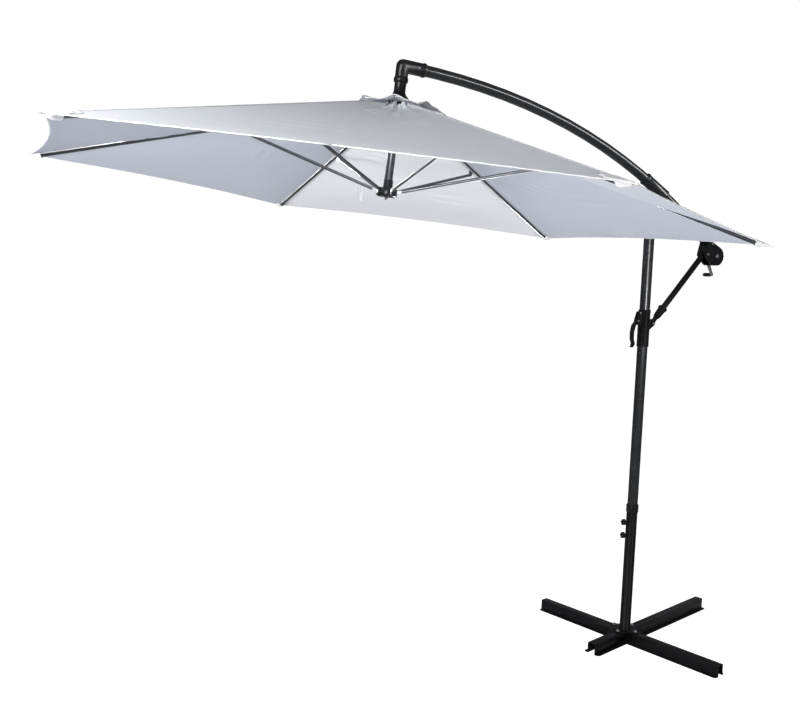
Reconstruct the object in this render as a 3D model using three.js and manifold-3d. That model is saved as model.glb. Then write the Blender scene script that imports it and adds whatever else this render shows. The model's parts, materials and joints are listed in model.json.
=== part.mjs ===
// Cantilever parasol with a six-rib hanging canopy.
// Millimetres, +Z up. Origin: on the ground, on the mast axis.
// The arm lies in the XZ plane: the canopy hangs on the -X side, the crank is on the +X side.
// Front is -Y, rear is +Y.
import * as THREE from 'three';
import { mergeVertices } from 'three/addons/utils/BufferGeometryUtils.js';
import Module from 'manifold-3d';

const wasm = await Module();
wasm.setup();

// ---------------------------------------------------------------- driving dimensions
// Points written as pairs are [x, z] in the XZ plane.
const DEG = Math.PI / 180;

// base; shift moves the middle of the long leg along its own +X
const LEG = {
  length: 980, shift: 218, height: 50, topWidth: 40, flange: 22, wall: 2, cornerRadius: 15,
};
const LEG_ANGLE = 17.2; // degrees
const PLATE = { side: 105, thickness: 5, cornerRadius: 6, gap: 0.3 };
const BOLT_CIRCLE_RADIUS = 58;
const BOLT_HOLE_RADIUS = 4.6;

// mast
const LOWER_MAST = { outer: 51 / 2, inner: 48.8 / 2, top: 640 };
const UPPER_MAST = { outer: 48 / 2, inner: 45 / 2, bottom: 430, top: 2070 };
const MAST_FIT = 0.3;
const KNOB_HEIGHTS = [580, 517]; // upper, lower

// arm
const ARM = { outer: 46 / 2, inner: 42 / 2, crankEnd: 376, blendStart: -900 };
const ARM_CUBIC = [-42.142, -290.101, -579.922, 2167.854]; // z in mm of x in metres
const ARM_PIVOT = [15, 2104];
const SLEEVE = { start: -44, end: 73, radius: 28 };
const ELBOW = [-1292, 2523];

// brace, slider and lever
const BRACE_TOP = [338, 1866];
const BRACE_FOOT = [45, 1528];
const BRACE_RADIUS = 14;
const BRACE_PIN_HOLE = 4.4;
const SLIDER = { bottom: 1419, top: 1591, outer: 55 / 2, inner: 50.8 / 2 };
const LEVER_PIVOT = [-43, 1538];
const SLIDER_BOLT = [LEVER_PIVOT[0] + 10, LEVER_PIVOT[1] + 37];
const SLIDER_PIN_HOLE = 3.4;

// crank
const CRANK = [393, 1860];
const HOUSING = { radius: 47.5, half: 30, wall: 3, flatRise: 3 };
const CRANK_ARM_DIRECTION = [0.486, -0.874];
const CRANK_ARM_LENGTH = 100;

// canopy: heights are measured from the rim plane, which leans toward the mast and to the front
const ELBOW_HEIGHT = 527;
const LEAN = 4.258 * DEG;
const ROLL = 2.982 * DEG;
const RIM_RADIUS = 1500;
const RIB = { slope: 0.26, radius: 7.5, axisHeight: 376, rimGap: 34 };
const STRUT = { radius: 6.5, length: 600, lugDrop: 24 };
const SPOKE_WALL = 1.2; // wall of the rib and strut tubes
const HUB = { radius: 44, bore: 17.4, pivotRadius: 38, pivotHeight: 371 };
const CENTRE_TUBE = { outer: 34 / 2, inner: 30 / 2, bottom: 52 };
const FABRIC = { height: 385, thickness: 4, ventRadius: 110, scallop: 40, sag: 14, seamGap: 0.4 };
const RIB_NAMES = ['mast_rear', 'rear', 'far_rear', 'far_front', 'front', 'mast_front'];
const RIB_ANGLES = RIB_NAMES.map((_, i) => 30 + 60 * i); // degrees

const MATERIALS = {
  frame: { color: 0x232427, roughness: 0.42, metalness: 0.35 },
  plastic: { color: 0x1a1b1d, roughness: 0.5, metalness: 0.0 },
  steel: { color: 0xb9bcc0, roughness: 0.3, metalness: 1.0 },
  rib: { color: 0x4b4d53, roughness: 0.38, metalness: 0.5 },
  cord: { color: 0xd8d9db, roughness: 0.9, metalness: 0.0 },
  fabric: { color: 0xd9dbe1, roughness: 0.9, metalness: 0.0 },
};

// ---------------------------------------------------------------- points and outlines
const inPlane = ([x, z]) => [x, 0, z];
const distance = (from, to) => Math.hypot(...to.map((value, i) => value - from[i]));
const unit = (from, to) => to.map((value, i) => (value - from[i]) / distance(from, to));
// function that gives the point a distance along a direction
const ray = (start, direction) => length => start.map((value, i) => value + direction[i] * length);
const disc = (point, radius) => [...point, radius];
const discsAround = ([x, z], table) => table.map(([dx, dz, radius]) => [x + dx, z + dz, radius]);
// Y range on the front (-1) or rear (+1) side
const sideSpan = (side, inner, outer) => (side > 0 ? [inner, outer] : [-outer, -inner]);

function circlePoints(x, y, radius, segments) {
  return Array.from({ length: segments }, (_, i) => {
    const angle = 2 * Math.PI * i / segments;
    return [x + radius * Math.cos(angle), y + radius * Math.sin(angle)];
  });
}

// convex outline around discs [x, y, radius]
function hullOf(discs, segments = 16) {
  const points = discs.flatMap(([x, y, radius]) => circlePoints(x, y, radius, segments));
  points.sort((p, q) => p[0] - q[0] || p[1] - q[1]);
  const turn = (o, p, q) => (p[0] - o[0]) * (q[1] - o[1]) - (p[1] - o[1]) * (q[0] - o[0]);
  const halfHull = list => {
    const hull = [];
    for (const point of list) {
      while (hull.length > 1 && turn(hull.at(-2), hull.at(-1), point) <= 1e-9) hull.pop();
      hull.push(point);
    }
    hull.pop();
    return hull;
  };
  return [...halfHull(points), ...halfHull(points.slice().reverse())];
}

// ---------------------------------------------------------------- solids
// welds a geometry, drops collapsed triangles and turns the faces outward
function solid(geometry) {
  for (const key of Object.keys(geometry.attributes)) {
    if (key !== 'position') geometry.deleteAttribute(key);
  }
  const welded = mergeVertices(geometry, 1e-3);
  const position = welded.attributes.position;
  const index = welded.index.array;
  const corners = [0, 1, 2].map(() => new THREE.Vector3());
  const triangles = [];
  let volume = 0;
  for (let i = 0; i < index.length; i += 3) {
    const [a, b, c] = index.slice(i, i + 3);
    if (a === b || b === c || a === c) continue;
    triangles.push([a, b, c]);
    [a, b, c].forEach((vertex, k) => corners[k].fromBufferAttribute(position, vertex));
    volume += corners[0].dot(corners[1].cross(corners[2]));
  }
  if (volume < 0) triangles.forEach(triangle => triangle.reverse());
  return new wasm.Manifold(new wasm.Mesh({
    numProp: 3,
    vertProperties: new Float32Array(position.array),
    triVerts: new Uint32Array(triangles.flat()),
  }));
}

const add = (...solids) => solids.reduce((a, b) => a.add(b));
const cut = (body, ...tools) => tools.reduce((a, b) => a.subtract(b), body);

// closed profile [radius, height] revolved about Y
function latheGeometry(profile, segments, startAngle = 0) {
  const points = [...profile, profile[0]].map(([r, h]) => new THREE.Vector2(r, h));
  return new THREE.LatheGeometry(points, segments, startAngle);
}
// the same about Z
function turned(profile, segments, startAngle) {
  return solid(latheGeometry(profile, segments, startAngle).rotateX(Math.PI / 2));
}
const uprightTube = (inner, outer, z0, z1, segments) =>
  turned([[inner, z0], [outer, z0], [outer, z1], [inner, z1]], segments);

// straight round rod, hollow when a bore radius is given
function rod(start, end, radius, segments = 14, { bore = 0, endRadius = radius } = {}) {
  const length = distance(start, end);
  const geometry = bore
    ? latheGeometry([[bore, 0], [radius, 0], [endRadius, length], [bore, length]], segments)
    : new THREE.CylinderGeometry(endRadius, radius, length, segments).translate(0, length / 2, 0);
  const turn = new THREE.Quaternion().setFromUnitVectors(
    new THREE.Vector3(0, 1, 0),
    new THREE.Vector3(...unit(start, end)).normalize(),
  );
  return solid(geometry.applyQuaternion(turn).translate(...start));
}
// rod between two points of the XZ plane
const bar = (start, end, ...rest) => rod(inPlane(start), inPlane(end), ...rest);
const upright = (x, y, z0, z1, radius, segments) =>
  rod([x, y, z0], [x, y, z1], radius, segments);
// rod along Y through an XZ point
const pin = ([x, z], radius, y0, y1, segments = 10) =>
  rod([x, y0, z], [x, y1, z], radius, segments);
const hole = (point, radius, segments) => pin(point, radius, -60, 60, segments);

// pin along Y with a head or flange at each end; seat and ends are distances from the XZ plane
function flangedPin(point, {
  radius, reach, segments = 10, headRadius, headSides, seat, frontEnd, rearEnd = frontEnd,
}) {
  return add(
    pin(point, radius, -reach, reach, segments),
    pin(point, headRadius, -frontEnd, -seat, headSides),
    pin(point, headRadius, seat, rearEnd, headSides),
  );
}

function box(x0, x1, y0, y1, z0, z1) {
  const geometry = new THREE.BoxGeometry(x1 - x0, y1 - y0, z1 - z0);
  return solid(geometry.translate((x0 + x1) / 2, (y0 + y1) / 2, (z0 + z1) / 2));
}
function sphere(centre, radius, widthSegments, heightSegments) {
  const geometry = new THREE.SphereGeometry(radius, widthSegments, heightSegments);
  return solid(geometry.translate(...centre));
}
const shapeOf = points => new THREE.Shape(points.map(([x, y]) => new THREE.Vector2(x, y)));
const extrude = (outline, depth) =>
  new THREE.ExtrudeGeometry(shapeOf(outline), { depth, bevelEnabled: false, steps: 1 });
// outline in the XZ plane, thick along Y
const plate = (outline, y0, y1) =>
  solid(extrude(outline, y1 - y0).rotateX(Math.PI / 2).translate(0, y1, 0));
// outline in the XY plane, thick along Z
const slab = (outline, z0, z1) => solid(extrude(outline, z1 - z0).translate(0, 0, z0));
const link = (discs, y0, y1, segments) => plate(hullOf(discs, segments), y0, y1);

// round section swept along a smooth curve through the points
function bent(points, outer, inner, steps, segments) {
  const shape = shapeOf(circlePoints(0, 0, outer, segments));
  if (inner) shape.holes.push(shapeOf(circlePoints(0, 0, inner, segments)));
  const vectors = points.map(point => new THREE.Vector3(...point));
  const extrudePath = new THREE.CatmullRomCurve3(vectors, false, 'centripetal');
  return solid(new THREE.ExtrudeGeometry(shape, { steps, bevelEnabled: false, extrudePath }));
}

// ---------------------------------------------------------------- groups and meshes
const parasol = new THREE.Group();

function toGeometry(body) {
  const { numVert, numProp, vertProperties, triVerts } = body.getMesh();
  const positions = new Float32Array(numVert * 3);
  for (let i = 0; i < numVert; i++) {
    for (let k = 0; k < 3; k++) positions[3 * i + k] = vertProperties[i * numProp + k];
  }
  const geometry = new THREE.BufferGeometry();
  geometry.setAttribute('position', new THREE.BufferAttribute(positions, 3));
  geometry.setIndex(Array.from(triVerts));
  geometry.computeVertexNormals();
  return geometry;
}

function put(name, body, material, parent = parasol) {
  const meshMaterial = new THREE.MeshStandardMaterial(MATERIALS[material]);
  const mesh = new THREE.Mesh(toGeometry(body), meshMaterial);
  mesh.name = name;
  parent.add(mesh);
  return mesh;
}

// ---------------------------------------------------------------- base: crossing hat channels
const base = new THREE.Group();
base.rotation.z = LEG_ANGLE * DEG;
parasol.add(base);

const TOP_HALF = LEG.topWidth / 2;
const FOOT_HALF = TOP_HALF + LEG.flange;
const PLATE_BOTTOM = LEG.height + PLATE.gap;
const PLATE_TOP = PLATE_BOTTOM + PLATE.thickness;
const NOTCH = { half: 60, sideGap: 0.5, heightGap: 0.2 };

const boltHole = (x, y) =>
  upright(x, y, LEG.height - 8, LEG.height + 8, BOLT_HOLE_RADIUS, 10);

function hatChannel(x0, x1) {
  const { wall, height, cornerRadius } = LEG;
  const section = [ // [y, z]
    [-FOOT_HALF, 0], [-TOP_HALF + wall, 0], [-TOP_HALF + wall, height - wall],
    [TOP_HALF - wall, height - wall], [TOP_HALF - wall, 0], [FOOT_HALF, 0],
    [FOOT_HALF, wall], [TOP_HALF, wall], [TOP_HALF, height],
    [-TOP_HALF, height], [-TOP_HALF, wall], [-FOOT_HALF, wall],
  ];
  // turns the section to (y, z) and its sweep to x
  const alongX = new THREE.Matrix4().set(0, 0, 1, x0, 1, 0, 0, 0, 0, 1, 0, 0, 0, 0, 0, 1);
  const side = FOOT_HALF - cornerRadius;
  const plan = hullOf([x0 + cornerRadius, x1 - cornerRadius]
    .flatMap(x => [[x, side, cornerRadius], [x, -side, cornerRadius]]), 12);
  return solid(extrude(section, x1 - x0).applyMatrix4(alongX))
    .intersect(slab(plan, -1, height + 1));
}

// leg with bolt holes and a notch where the other leg crosses
function leg(shift, notchReach, notchBottom, notchTop) {
  const reach = notchReach + NOTCH.sideGap;
  return cut(
    hatChannel(shift - LEG.length / 2, shift + LEG.length / 2),
    box(-reach, reach, -NOTCH.half, NOTCH.half, notchBottom, notchTop),
    boltHole(BOLT_CIRCLE_RADIUS, 0),
    boltHole(-BOLT_CIRCLE_RADIUS, 0),
  );
}
const longLeg = leg(LEG.shift, FOOT_HALF, -1, LEG.height / 2 + NOTCH.heightGap);
const crossLeg = leg(0, TOP_HALF, LEG.height / 2 - NOTCH.heightGap, LEG.height + 1);
put('base_leg_long', longLeg, 'frame', base);
put('base_leg_cross', crossLeg, 'frame', base).rotation.z = Math.PI / 2;

const BOLT_SPOTS = [0, 1, 2, 3].map(i => [
  BOLT_CIRCLE_RADIUS * Math.cos(i * Math.PI / 2),
  BOLT_CIRCLE_RADIUS * Math.sin(i * Math.PI / 2),
]);

// square plate with the lower mast tube and the bosses of the clamp knobs
function mastFoot() {
  const { outer, inner, top } = LOWER_MAST;
  const corner = PLATE.side / Math.SQRT2 - PLATE.cornerRadius;
  const outline = hullOf([[corner, 0], [-corner, 0], [0, corner], [0, -corner]]
    .map(point => disc(point, PLATE.cornerRadius)), 8);
  const flaredTube = turned([
    [inner, PLATE_TOP - 1], [31, PLATE_TOP - 1], [31, PLATE_TOP + 1],
    [outer, PLATE_TOP + 7], [outer, top], [inner, top],
  ], 24);
  // the knobs face -X of the whole object, so their bosses are turned back by the leg angle
  const knobRods = (x0, x1, radius, segments) => KNOB_HEIGHTS.map(z =>
    rod([x0, 0, z], [x1, 0, z], radius, segments).rotate([0, 0, -LEG_ANGLE]));
  const foot = add(slab(outline, PLATE_BOTTOM, PLATE_TOP), flaredTube);
  const drilled = cut(foot, ...BOLT_SPOTS.map(([x, y]) => boltHole(x, y)));
  return cut(add(drilled, ...knobRods(-24.9, -35, 8, 8)), ...knobRods(-20, -40, 4.5, 10));
}
put('mast_foot', mastFoot(), 'frame', base);

['right', 'rear', 'left', 'front'].forEach((place, i) => {
  const [x, y] = BOLT_SPOTS[i];
  const washer = upright(x, y, PLATE_TOP + 0.3, PLATE_TOP + 1.8, 9, 14);
  const head = upright(x, y, PLATE_TOP + 1.8, PLATE_TOP + 7, 7, 6);
  const shank = upright(x, y, 36, PLATE_TOP + 1, 4, 10);
  const nut = upright(x, y, 40.5, 47.5, 7, 6);
  put(`base_bolt_${place}`, add(washer, head, shank, nut), 'steel', base);
});

// ---------------------------------------------------------------- mast
put('upper_mast_tube', uprightTube(
  UPPER_MAST.inner, UPPER_MAST.outer, UPPER_MAST.bottom, UPPER_MAST.top, 24,
), 'frame');

// stepped collar over the joint of the two mast tubes
function mastCollar() {
  const lowerBore = LOWER_MAST.outer + MAST_FIT;
  const upperBore = UPPER_MAST.outer + MAST_FIT;
  return turned([
    [lowerBore, 628], [28.6, 628], [28.6, 661], [27, 665],
    [upperBore, 665], [upperBore, 642.4], [lowerBore, LOWER_MAST.top + 0.3],
  ], 24);
}
put('mast_collar', mastCollar(), 'plastic');

// five-lobed knob on the -X side
function clampKnob(z) {
  const LOBE_CIRCLE = 10.5;
  const core = [0, 0, 11];
  const lobes = [0, 1, 2, 3, 4].map(k =>
    [LOBE_CIRCLE * Math.cos(k * 72 * DEG), LOBE_CIRCLE * Math.sin(k * 72 * DEG), 5]);
  return add(
    ...[core, ...lobes].map(([y, rise, radius]) =>
      rod([-38, y, z + rise], [-54, y, z + rise], radius, 8)),
    rod([-36.2, 0, z], [-38.5, 0, z], 9, 8), // neck
    rod([-24.5, 0, z], [-40, 0, z], 4, 8), // stud
  );
}
put('clamp_knob_upper', clampKnob(KNOB_HEIGHTS[0]), 'plastic');
put('clamp_knob_lower', clampKnob(KNOB_HEIGHTS[1]), 'plastic');

// cap on the mast with two ears for the arm pivot
function mastTopBracket() {
  const bottom = 2018;
  const top = UPPER_MAST.top + 7;
  const [x] = ARM_PIVOT;
  const ear = [disc(ARM_PIVOT, 14), [x - 8, top - 3, 8], [x + 4, top - 3, 8]];
  return cut(
    add(
      upright(0, 0, bottom, top, 28, 20),
      ...[-1, 1].map(side => link(ear, ...sideSpan(side, 13.5, 18.5), 10)),
    ),
    hole(ARM_PIVOT, 5.5, 8),
    upright(0, 0, bottom - 5, UPPER_MAST.top + 0.4, UPPER_MAST.outer + MAST_FIT, 24),
  );
}
put('mast_top_bracket', mastTopBracket(), 'plastic');
put('arm_pivot_bolt', flangedPin(ARM_PIVOT, {
  radius: 5, reach: 24, segments: 12,
  headRadius: 8.5, headSides: 6, seat: 18.9, frontEnd: 24.5, rearEnd: 25,
}), 'steel');

// ---------------------------------------------------------------- arm
const armZ = x => ARM_CUBIC.reduce((sum, coefficient) => sum * x / 1000 + coefficient);
// the last stretch is eased from the cubic to the elbow
const elbowRise = ELBOW[1] - armZ(ELBOW[0]);
function armPoint(x) {
  const share = (ARM.blendStart - x) / (ARM.blendStart - ELBOW[0]);
  return [x, armZ(x) + elbowRise * Math.max(0, Math.min(1, share))];
}
const ARM_START = ELBOW[0] + 34;
const RIVET = [364, armZ(364)];
const RIVET_HOLE = 3.3;

const armPath = Array.from({ length: 13 }, (_, i) =>
  inPlane(armPoint(ARM_START + (ARM.crankEnd - ARM_START) * i / 12)));
const armTube = bent(armPath, ARM.outer, ARM.inner, 16, 14);
put('arm_tube', cut(armTube, hole(RIVET, RIVET_HOLE)), 'frame');

// sleeve that carries the arm on the mast
function armSleeve() {
  const { radius } = SLEEVE;
  const [start, end] = [SLEEVE.start, SLEEVE.end].map(x => [x, armZ(x)]);
  const length = distance(start, end);
  const at = ray(start, unit(start, end));
  const x = ARM_PIVOT[0];
  const lug = [disc(ARM_PIVOT, 13), ...[x - 16, x + 16].map(side => [side, armZ(side) - 20, 12])];
  return cut(
    add(
      bar(start, end, radius, 16),
      bar(start, at(6), radius + 2, 16),
      bar(at(length - 5), end, radius + 1.2, 16),
      link(lug, -13, 13, 10),
    ),
    bar(at(-20), at(length + 20), ARM.outer + 2.1, 16),
    hole(ARM_PIVOT, 5.4),
  );
}
put('arm_sleeve', armSleeve(), 'plastic');

// ---------------------------------------------------------------- crank housing
const BRACE_LENGTH = distance(BRACE_TOP, BRACE_FOOT);
const braceDirection = unit(BRACE_TOP, BRACE_FOOT);

// brace directions seen from the housing over the travel of the arm
const braceSwing = [0, -34, -68].map(angle => {
  const c = Math.cos(angle * DEG);
  const s = Math.sin(angle * DEG);
  const [x, z] = braceDirection;
  return [x * c + z * s, -x * s + z * c];
});
// space swept by the brace, starting a distance from its pin
const braceSweep = (start, radius, half) => braceSwing.map(direction => {
  const at = ray(BRACE_TOP, direction);
  return link([disc(at(start), radius), disc(at(70), 18)], -half, half, 10);
});

// housing body shrunk by an inset, with a flat bottom
function housingBody(inset, y0, y1) {
  const [x, z] = CRANK;
  const outline = hullOf([
    disc(CRANK, HOUSING.radius - inset),
    [BRACE_TOP[0] + 4, BRACE_TOP[1], 16 - inset],
    [352, 1918, 13 - inset],
  ], 20);
  const flatZ = z - HOUSING.radius + HOUSING.flatRise + inset;
  return plate(outline, y0, y1).intersect(box(x - 150, x + 150, -60, 60, flatZ, z + 150));
}

function housingHalf(side) {
  const { half, wall } = HOUSING;
  const boss = (point, radius, inner, outer, segments) =>
    pin(point, radius, ...sideSpan(side, inner, outer), segments);
  const armStart = armPoint(300);
  const armEnd = armPoint(ARM.crankEnd);
  const beyondArm = ray(armStart, unit(armStart, armEnd))(1.5 * distance(armStart, armEnd));
  const shell = cut(
    housingBody(0, ...sideSpan(side, 0.2, half)),
    housingBody(wall, ...sideSpan(side, -5, half - wall)),
  );
  const body = add(
    shell,
    boss(CRANK, 13, 24.5, half + 2, 12),
    boss(RIVET, 6, 24.5, half - 1, 8),
    boss(BRACE_TOP, 10, 9, half, 10),
  );
  const opened = cut(
    body,
    hole(CRANK, 6.4, 14),
    hole(RIVET, RIVET_HOLE),
    hole(BRACE_TOP, BRACE_PIN_HOLE),
    bar(armStart, beyondArm, ARM.outer + 1.4, 14),
    // narrow room for the brace eye between the bosses
    add(...braceSweep(0, 17.5, 8.6), pin(BRACE_TOP, 17.5, -8.6, 8.6, 14)),
    // wider opening in the rim where the brace leaves
    add(...braceSweep(14, 17, 16.5)),
  );
  // the cuts can leave loose slivers; only the main piece is kept
  return opened.decompose().sort((p, q) => q.volume() - p.volume())[0];
}
put('crank_housing_front', housingHalf(-1), 'plastic');
put('crank_housing_rear', housingHalf(1), 'plastic');

const HOUSING_HEADS = { reach: 31, headSides: 12, seat: 30.3, frontEnd: 33 };
put('housing_rivet', flangedPin(RIVET, { radius: 3, headRadius: 6, ...HOUSING_HEADS }), 'steel');
put('brace_pin_upper', flangedPin(BRACE_TOP, {
  radius: 4, headRadius: 6.5, ...HOUSING_HEADS,
}), 'steel');

const spool = flangedPin(CRANK, {
  radius: 15, reach: 24, segments: 12, headRadius: 22, headSides: 16, seat: 21.5, frontEnd: 24,
});
put('cord_spool', cut(spool, hole(CRANK, 6.5)), 'plastic');
put('crank_shaft', add(
  pin(CRANK, 6, -35.5, 45, 12),
  pin(CRANK, 9.5, -36, -32.4, 16), // collar
  pin(CRANK, 6.5, -40.5, -35.5, 6), // hexagonal end
), 'steel');

const CRANK_HANDLE = ray(CRANK, CRANK_ARM_DIRECTION)(CRANK_ARM_LENGTH);
put('crank_arm', cut(
  add(
    link([disc(CRANK, 12), disc(CRANK_HANDLE, 7)], 38, 43, 18),
    pin(CRANK_HANDLE, 3.5, 42, 98), // spindle of the grip
  ),
  hole(CRANK, 6.3, 12),
), 'steel');
const GRIP_PROFILE = [ // [radius, distance along Y]
  [4, 0], [7, 0], [8.6, 4], [9.5, 16], [9, 34], [9.6, 44], [8, 50], [4, 50],
];
const gripGeometry = latheGeometry(GRIP_PROFILE, 12);
gripGeometry.translate(CRANK_HANDLE[0], 44, CRANK_HANDLE[1]);
put('crank_grip', solid(gripGeometry), 'plastic');

// ---------------------------------------------------------------- brace
const fromTop = ray(BRACE_TOP, braceDirection);
const fromFoot = length => fromTop(BRACE_LENGTH - length);

put('brace_tube', bar(fromTop(26), fromFoot(52), BRACE_RADIUS, 14, {
  bore: BRACE_RADIUS - 1.5,
}), 'frame');
put('brace_knuckle', cut(
  add(
    link([disc(BRACE_TOP, 13.5), disc(fromTop(14), 11)], -8, 8, 10), // eye
    bar(fromTop(20), fromTop(50), BRACE_RADIUS - 2.1, 12), // plug inside the tube
    bar(fromTop(16), fromTop(25.6), 13, 12),
  ),
  hole(BRACE_TOP, BRACE_PIN_HOLE),
), 'plastic');
put('brace_socket', cut(
  add(
    bar(fromFoot(98), fromFoot(44), 20, 14, { endRadius: 16.5 }),
    bar(fromFoot(98), fromFoot(90), 22.5, 14, { endRadius: 22 }), // lip
    bar(fromFoot(46), fromFoot(22), 15, 14, { endRadius: 9 }),
    link([disc(BRACE_FOOT, 11), disc(fromFoot(30), 8)], -7, 7, 10), // eye
  ),
  bar(fromFoot(110), fromFoot(51), BRACE_RADIUS + 0.5, 14),
  hole(BRACE_FOOT, BRACE_PIN_HOLE),
), 'plastic');
put('brace_pin_lower', flangedPin(BRACE_FOOT, {
  radius: 4, reach: 14, headRadius: 7, headSides: 6, seat: 13.3, frontEnd: 17,
}), 'steel');

// ---------------------------------------------------------------- slider on the mast
function mastSlider() {
  const { bottom, top, outer, inner } = SLIDER;
  const flare = outer + 1.5;
  const body = turned([
    [inner, bottom], [flare, bottom], [outer, bottom + 8],
    [outer, top - 8], [flare, top], [inner, top],
  ], 24);
  const footZ = BRACE_FOOT[1];
  const pivotZ = LEVER_PIVOT[1];
  const braceEar = [disc(BRACE_FOOT, 12), [20, footZ - 22, 10], [20, footZ + 16, 8]];
  const leverEar = [
    disc(LEVER_PIVOT, 9), [-20, pivotZ - 18, 6], [-20, pivotZ + 40, 6], disc(SLIDER_BOLT, 8),
  ];
  const ears = [-1, 1].flatMap(side => [
    link(braceEar, ...sideSpan(side, 7.5, 13), 10),
    link(leverEar, ...sideSpan(side, 6, 11), 10),
  ]);
  return cut(
    add(body, ...ears),
    upright(0, 0, bottom - 5, top + 5, inner, 24),
    hole(BRACE_FOOT, BRACE_PIN_HOLE),
    hole(LEVER_PIVOT, SLIDER_PIN_HOLE),
    hole(SLIDER_BOLT, SLIDER_PIN_HOLE),
  );
}
put('mast_slider', mastSlider(), 'plastic');
put('slider_bolt', flangedPin(SLIDER_BOLT, {
  radius: 3, reach: 13, headRadius: 5.5, headSides: 6, seat: 11.3, frontEnd: 15.5, rearEnd: 15,
}), 'steel');
put('lever_pin', flangedPin(LEVER_PIVOT, {
  radius: 3, reach: 13, headRadius: 5, headSides: 12, seat: 11.3, frontEnd: 14,
}), 'steel');

// curved lever; discs as [x, z] from the pivot and radius
const LEVER_DISCS = [
  [-17, -22, 8], [-24, -52, 7], [-23, -84, 6.5], [-15, -108, 6], [-22, -120, 4.5],
];
function sliderLever() {
  const discs = discsAround(LEVER_PIVOT, LEVER_DISCS);
  return cut(
    add(
      link([disc(LEVER_PIVOT, 9), discs[0]], -5.5, 5.5, 10),
      ...discs.slice(1).map((next, i) => link([discs[i], next], -8, 8, 8)),
    ),
    hole(LEVER_PIVOT, SLIDER_PIN_HOLE),
  );
}
put('slider_lever', sliderLever(), 'plastic');

// ---------------------------------------------------------------- canopy group and elbow
const canopy = new THREE.Group();
canopy.rotation.order = 'YXZ';
canopy.rotation.y = LEAN;
canopy.rotation.x = ROLL;
const downward = new THREE.Vector3(0, 0, -1).applyEuler(canopy.rotation).toArray();
const down = ray(inPlane(ELBOW), downward); // from the elbow down the canopy axis
const out = ray(ELBOW, unit(ELBOW, armPoint(ELBOW[0] + 110))); // from the elbow along the arm
canopy.position.set(...down(ELBOW_HEIGHT));
parasol.add(canopy);

// one leg along the arm, one leg down the canopy axis
const ELBOW_RADIUS = 26.5;
const ELBOW_SCREW = out(62);
function armElbow() {
  const corner = inPlane(ELBOW);
  return cut(
    add(
      rod(corner, down(44.5), ELBOW_RADIUS, 14),
      bar(ELBOW, out(97), ELBOW_RADIUS, 14),
      bar(out(88), out(97), ELBOW_RADIUS + 2, 14), // lip
      sphere(corner, ELBOW_RADIUS, 12, 8),
    ),
    // sockets for the arm and the centre tube
    bar(out(30), out(110), ARM.outer + 1.2, 14),
    rod(down(14), down(60), CENTRE_TUBE.outer + 0.8, 12),
    // cord passage round the corner
    bar(out(-8), out(40), 12, 8),
    rod(down(-8), down(30), 12, 8),
    sphere([corner[0] + 12, 0, corner[2] - 11], 15, 8, 6),
    pin(ELBOW_SCREW, 2.7, -30, -22, 8),
  );
}
put('arm_elbow', armElbow(), 'plastic');
put('elbow_screw', add(
  pin(ELBOW_SCREW, 2.2, -27.5, -24.3, 8),
  pin(ELBOW_SCREW, 4.5, -28.9, -26.9, 12),
), 'steel');

// ---------------------------------------------------------------- hub, in canopy coordinates
const putCanopy = (name, body, material) => put(name, body, material, canopy);

putCanopy('centre_tube', uprightTube(
  CENTRE_TUBE.inner, CENTRE_TUBE.outer, CENTRE_TUBE.bottom, ELBOW_HEIGHT - 16, 20,
), 'rib');

const BELL_PROFILE = [ // [radius, height]
  [HUB.bore, 387.6], [46, 387.6], [47.5, 390], [46.5, 396], [38, 405], [28, 415],
  [23.6, 426], [23.6, 461], [28, 463], [29.2, 467], [29.2, 477], [28, 481.5], [HUB.bore, 481.5],
];
putCanopy('hub_bell', turned(BELL_PROFILE, 18), 'plastic');

const WIRE_RADIUS = 1.6;
const WIRE_GROOVE_RADIUS = 2.2;
const pivotRing = (height, radius) =>
  solid(new THREE.TorusGeometry(HUB.pivotRadius, radius, 4, 18).translate(0, 0, height));
const ribSlots = (z0, z1) =>
  RIB_ANGLES.map(angle => box(26, 60, -3.5, 3.5, z0, z1).rotate([0, 0, angle]));

const HUB_PROFILE = [ // [radius, height]
  [HUB.bore, 357], [40, 357], [HUB.radius, 361], [HUB.radius, 378], [42, 380], [HUB.bore, 380],
];
putCanopy('upper_hub', cut(
  turned(HUB_PROFILE, 18),
  pivotRing(HUB.pivotHeight, WIRE_GROOVE_RADIUS),
  ...ribSlots(350, 390),
), 'plastic');
putCanopy('upper_hub_wire', pivotRing(HUB.pivotHeight, WIRE_RADIUS), 'steel');

// ---------------------------------------------------------------- ribs and struts
// Points are [radius, height] in the radial plane of a rib.
const ribCos = 1 / Math.hypot(1, RIB.slope);
const ribSin = RIB.slope * ribCos;
const axisLift = (RIB.axisHeight - HUB.pivotHeight) * ribCos; // rib axis above pivot, square to rib
const lugAngle = Math.asin((STRUT.lugDrop - axisLift) / STRUT.length);
// pivot-to-lug line, from straight down
const strutAngle = Math.atan2(ribCos, ribSin) - lugAngle;
const strutDrop = STRUT.length * Math.cos(strutAngle);
const HUB_PIVOT = [HUB.pivotRadius, HUB.pivotHeight];
const LUG = [
  HUB.pivotRadius + STRUT.length * Math.sin(strutAngle), HUB.pivotHeight - strutDrop,
];
const RUNNER_PIVOT = [HUB.pivotRadius, HUB.pivotHeight - 2 * strutDrop];

// point a distance along the rib axis, lifted square to it
function onRib(length, lift = 0) {
  const rise = axisLift + lift;
  return [
    HUB.pivotRadius + ribCos * length + ribSin * rise,
    HUB.pivotHeight - ribSin * length + ribCos * rise,
  ];
}

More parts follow.
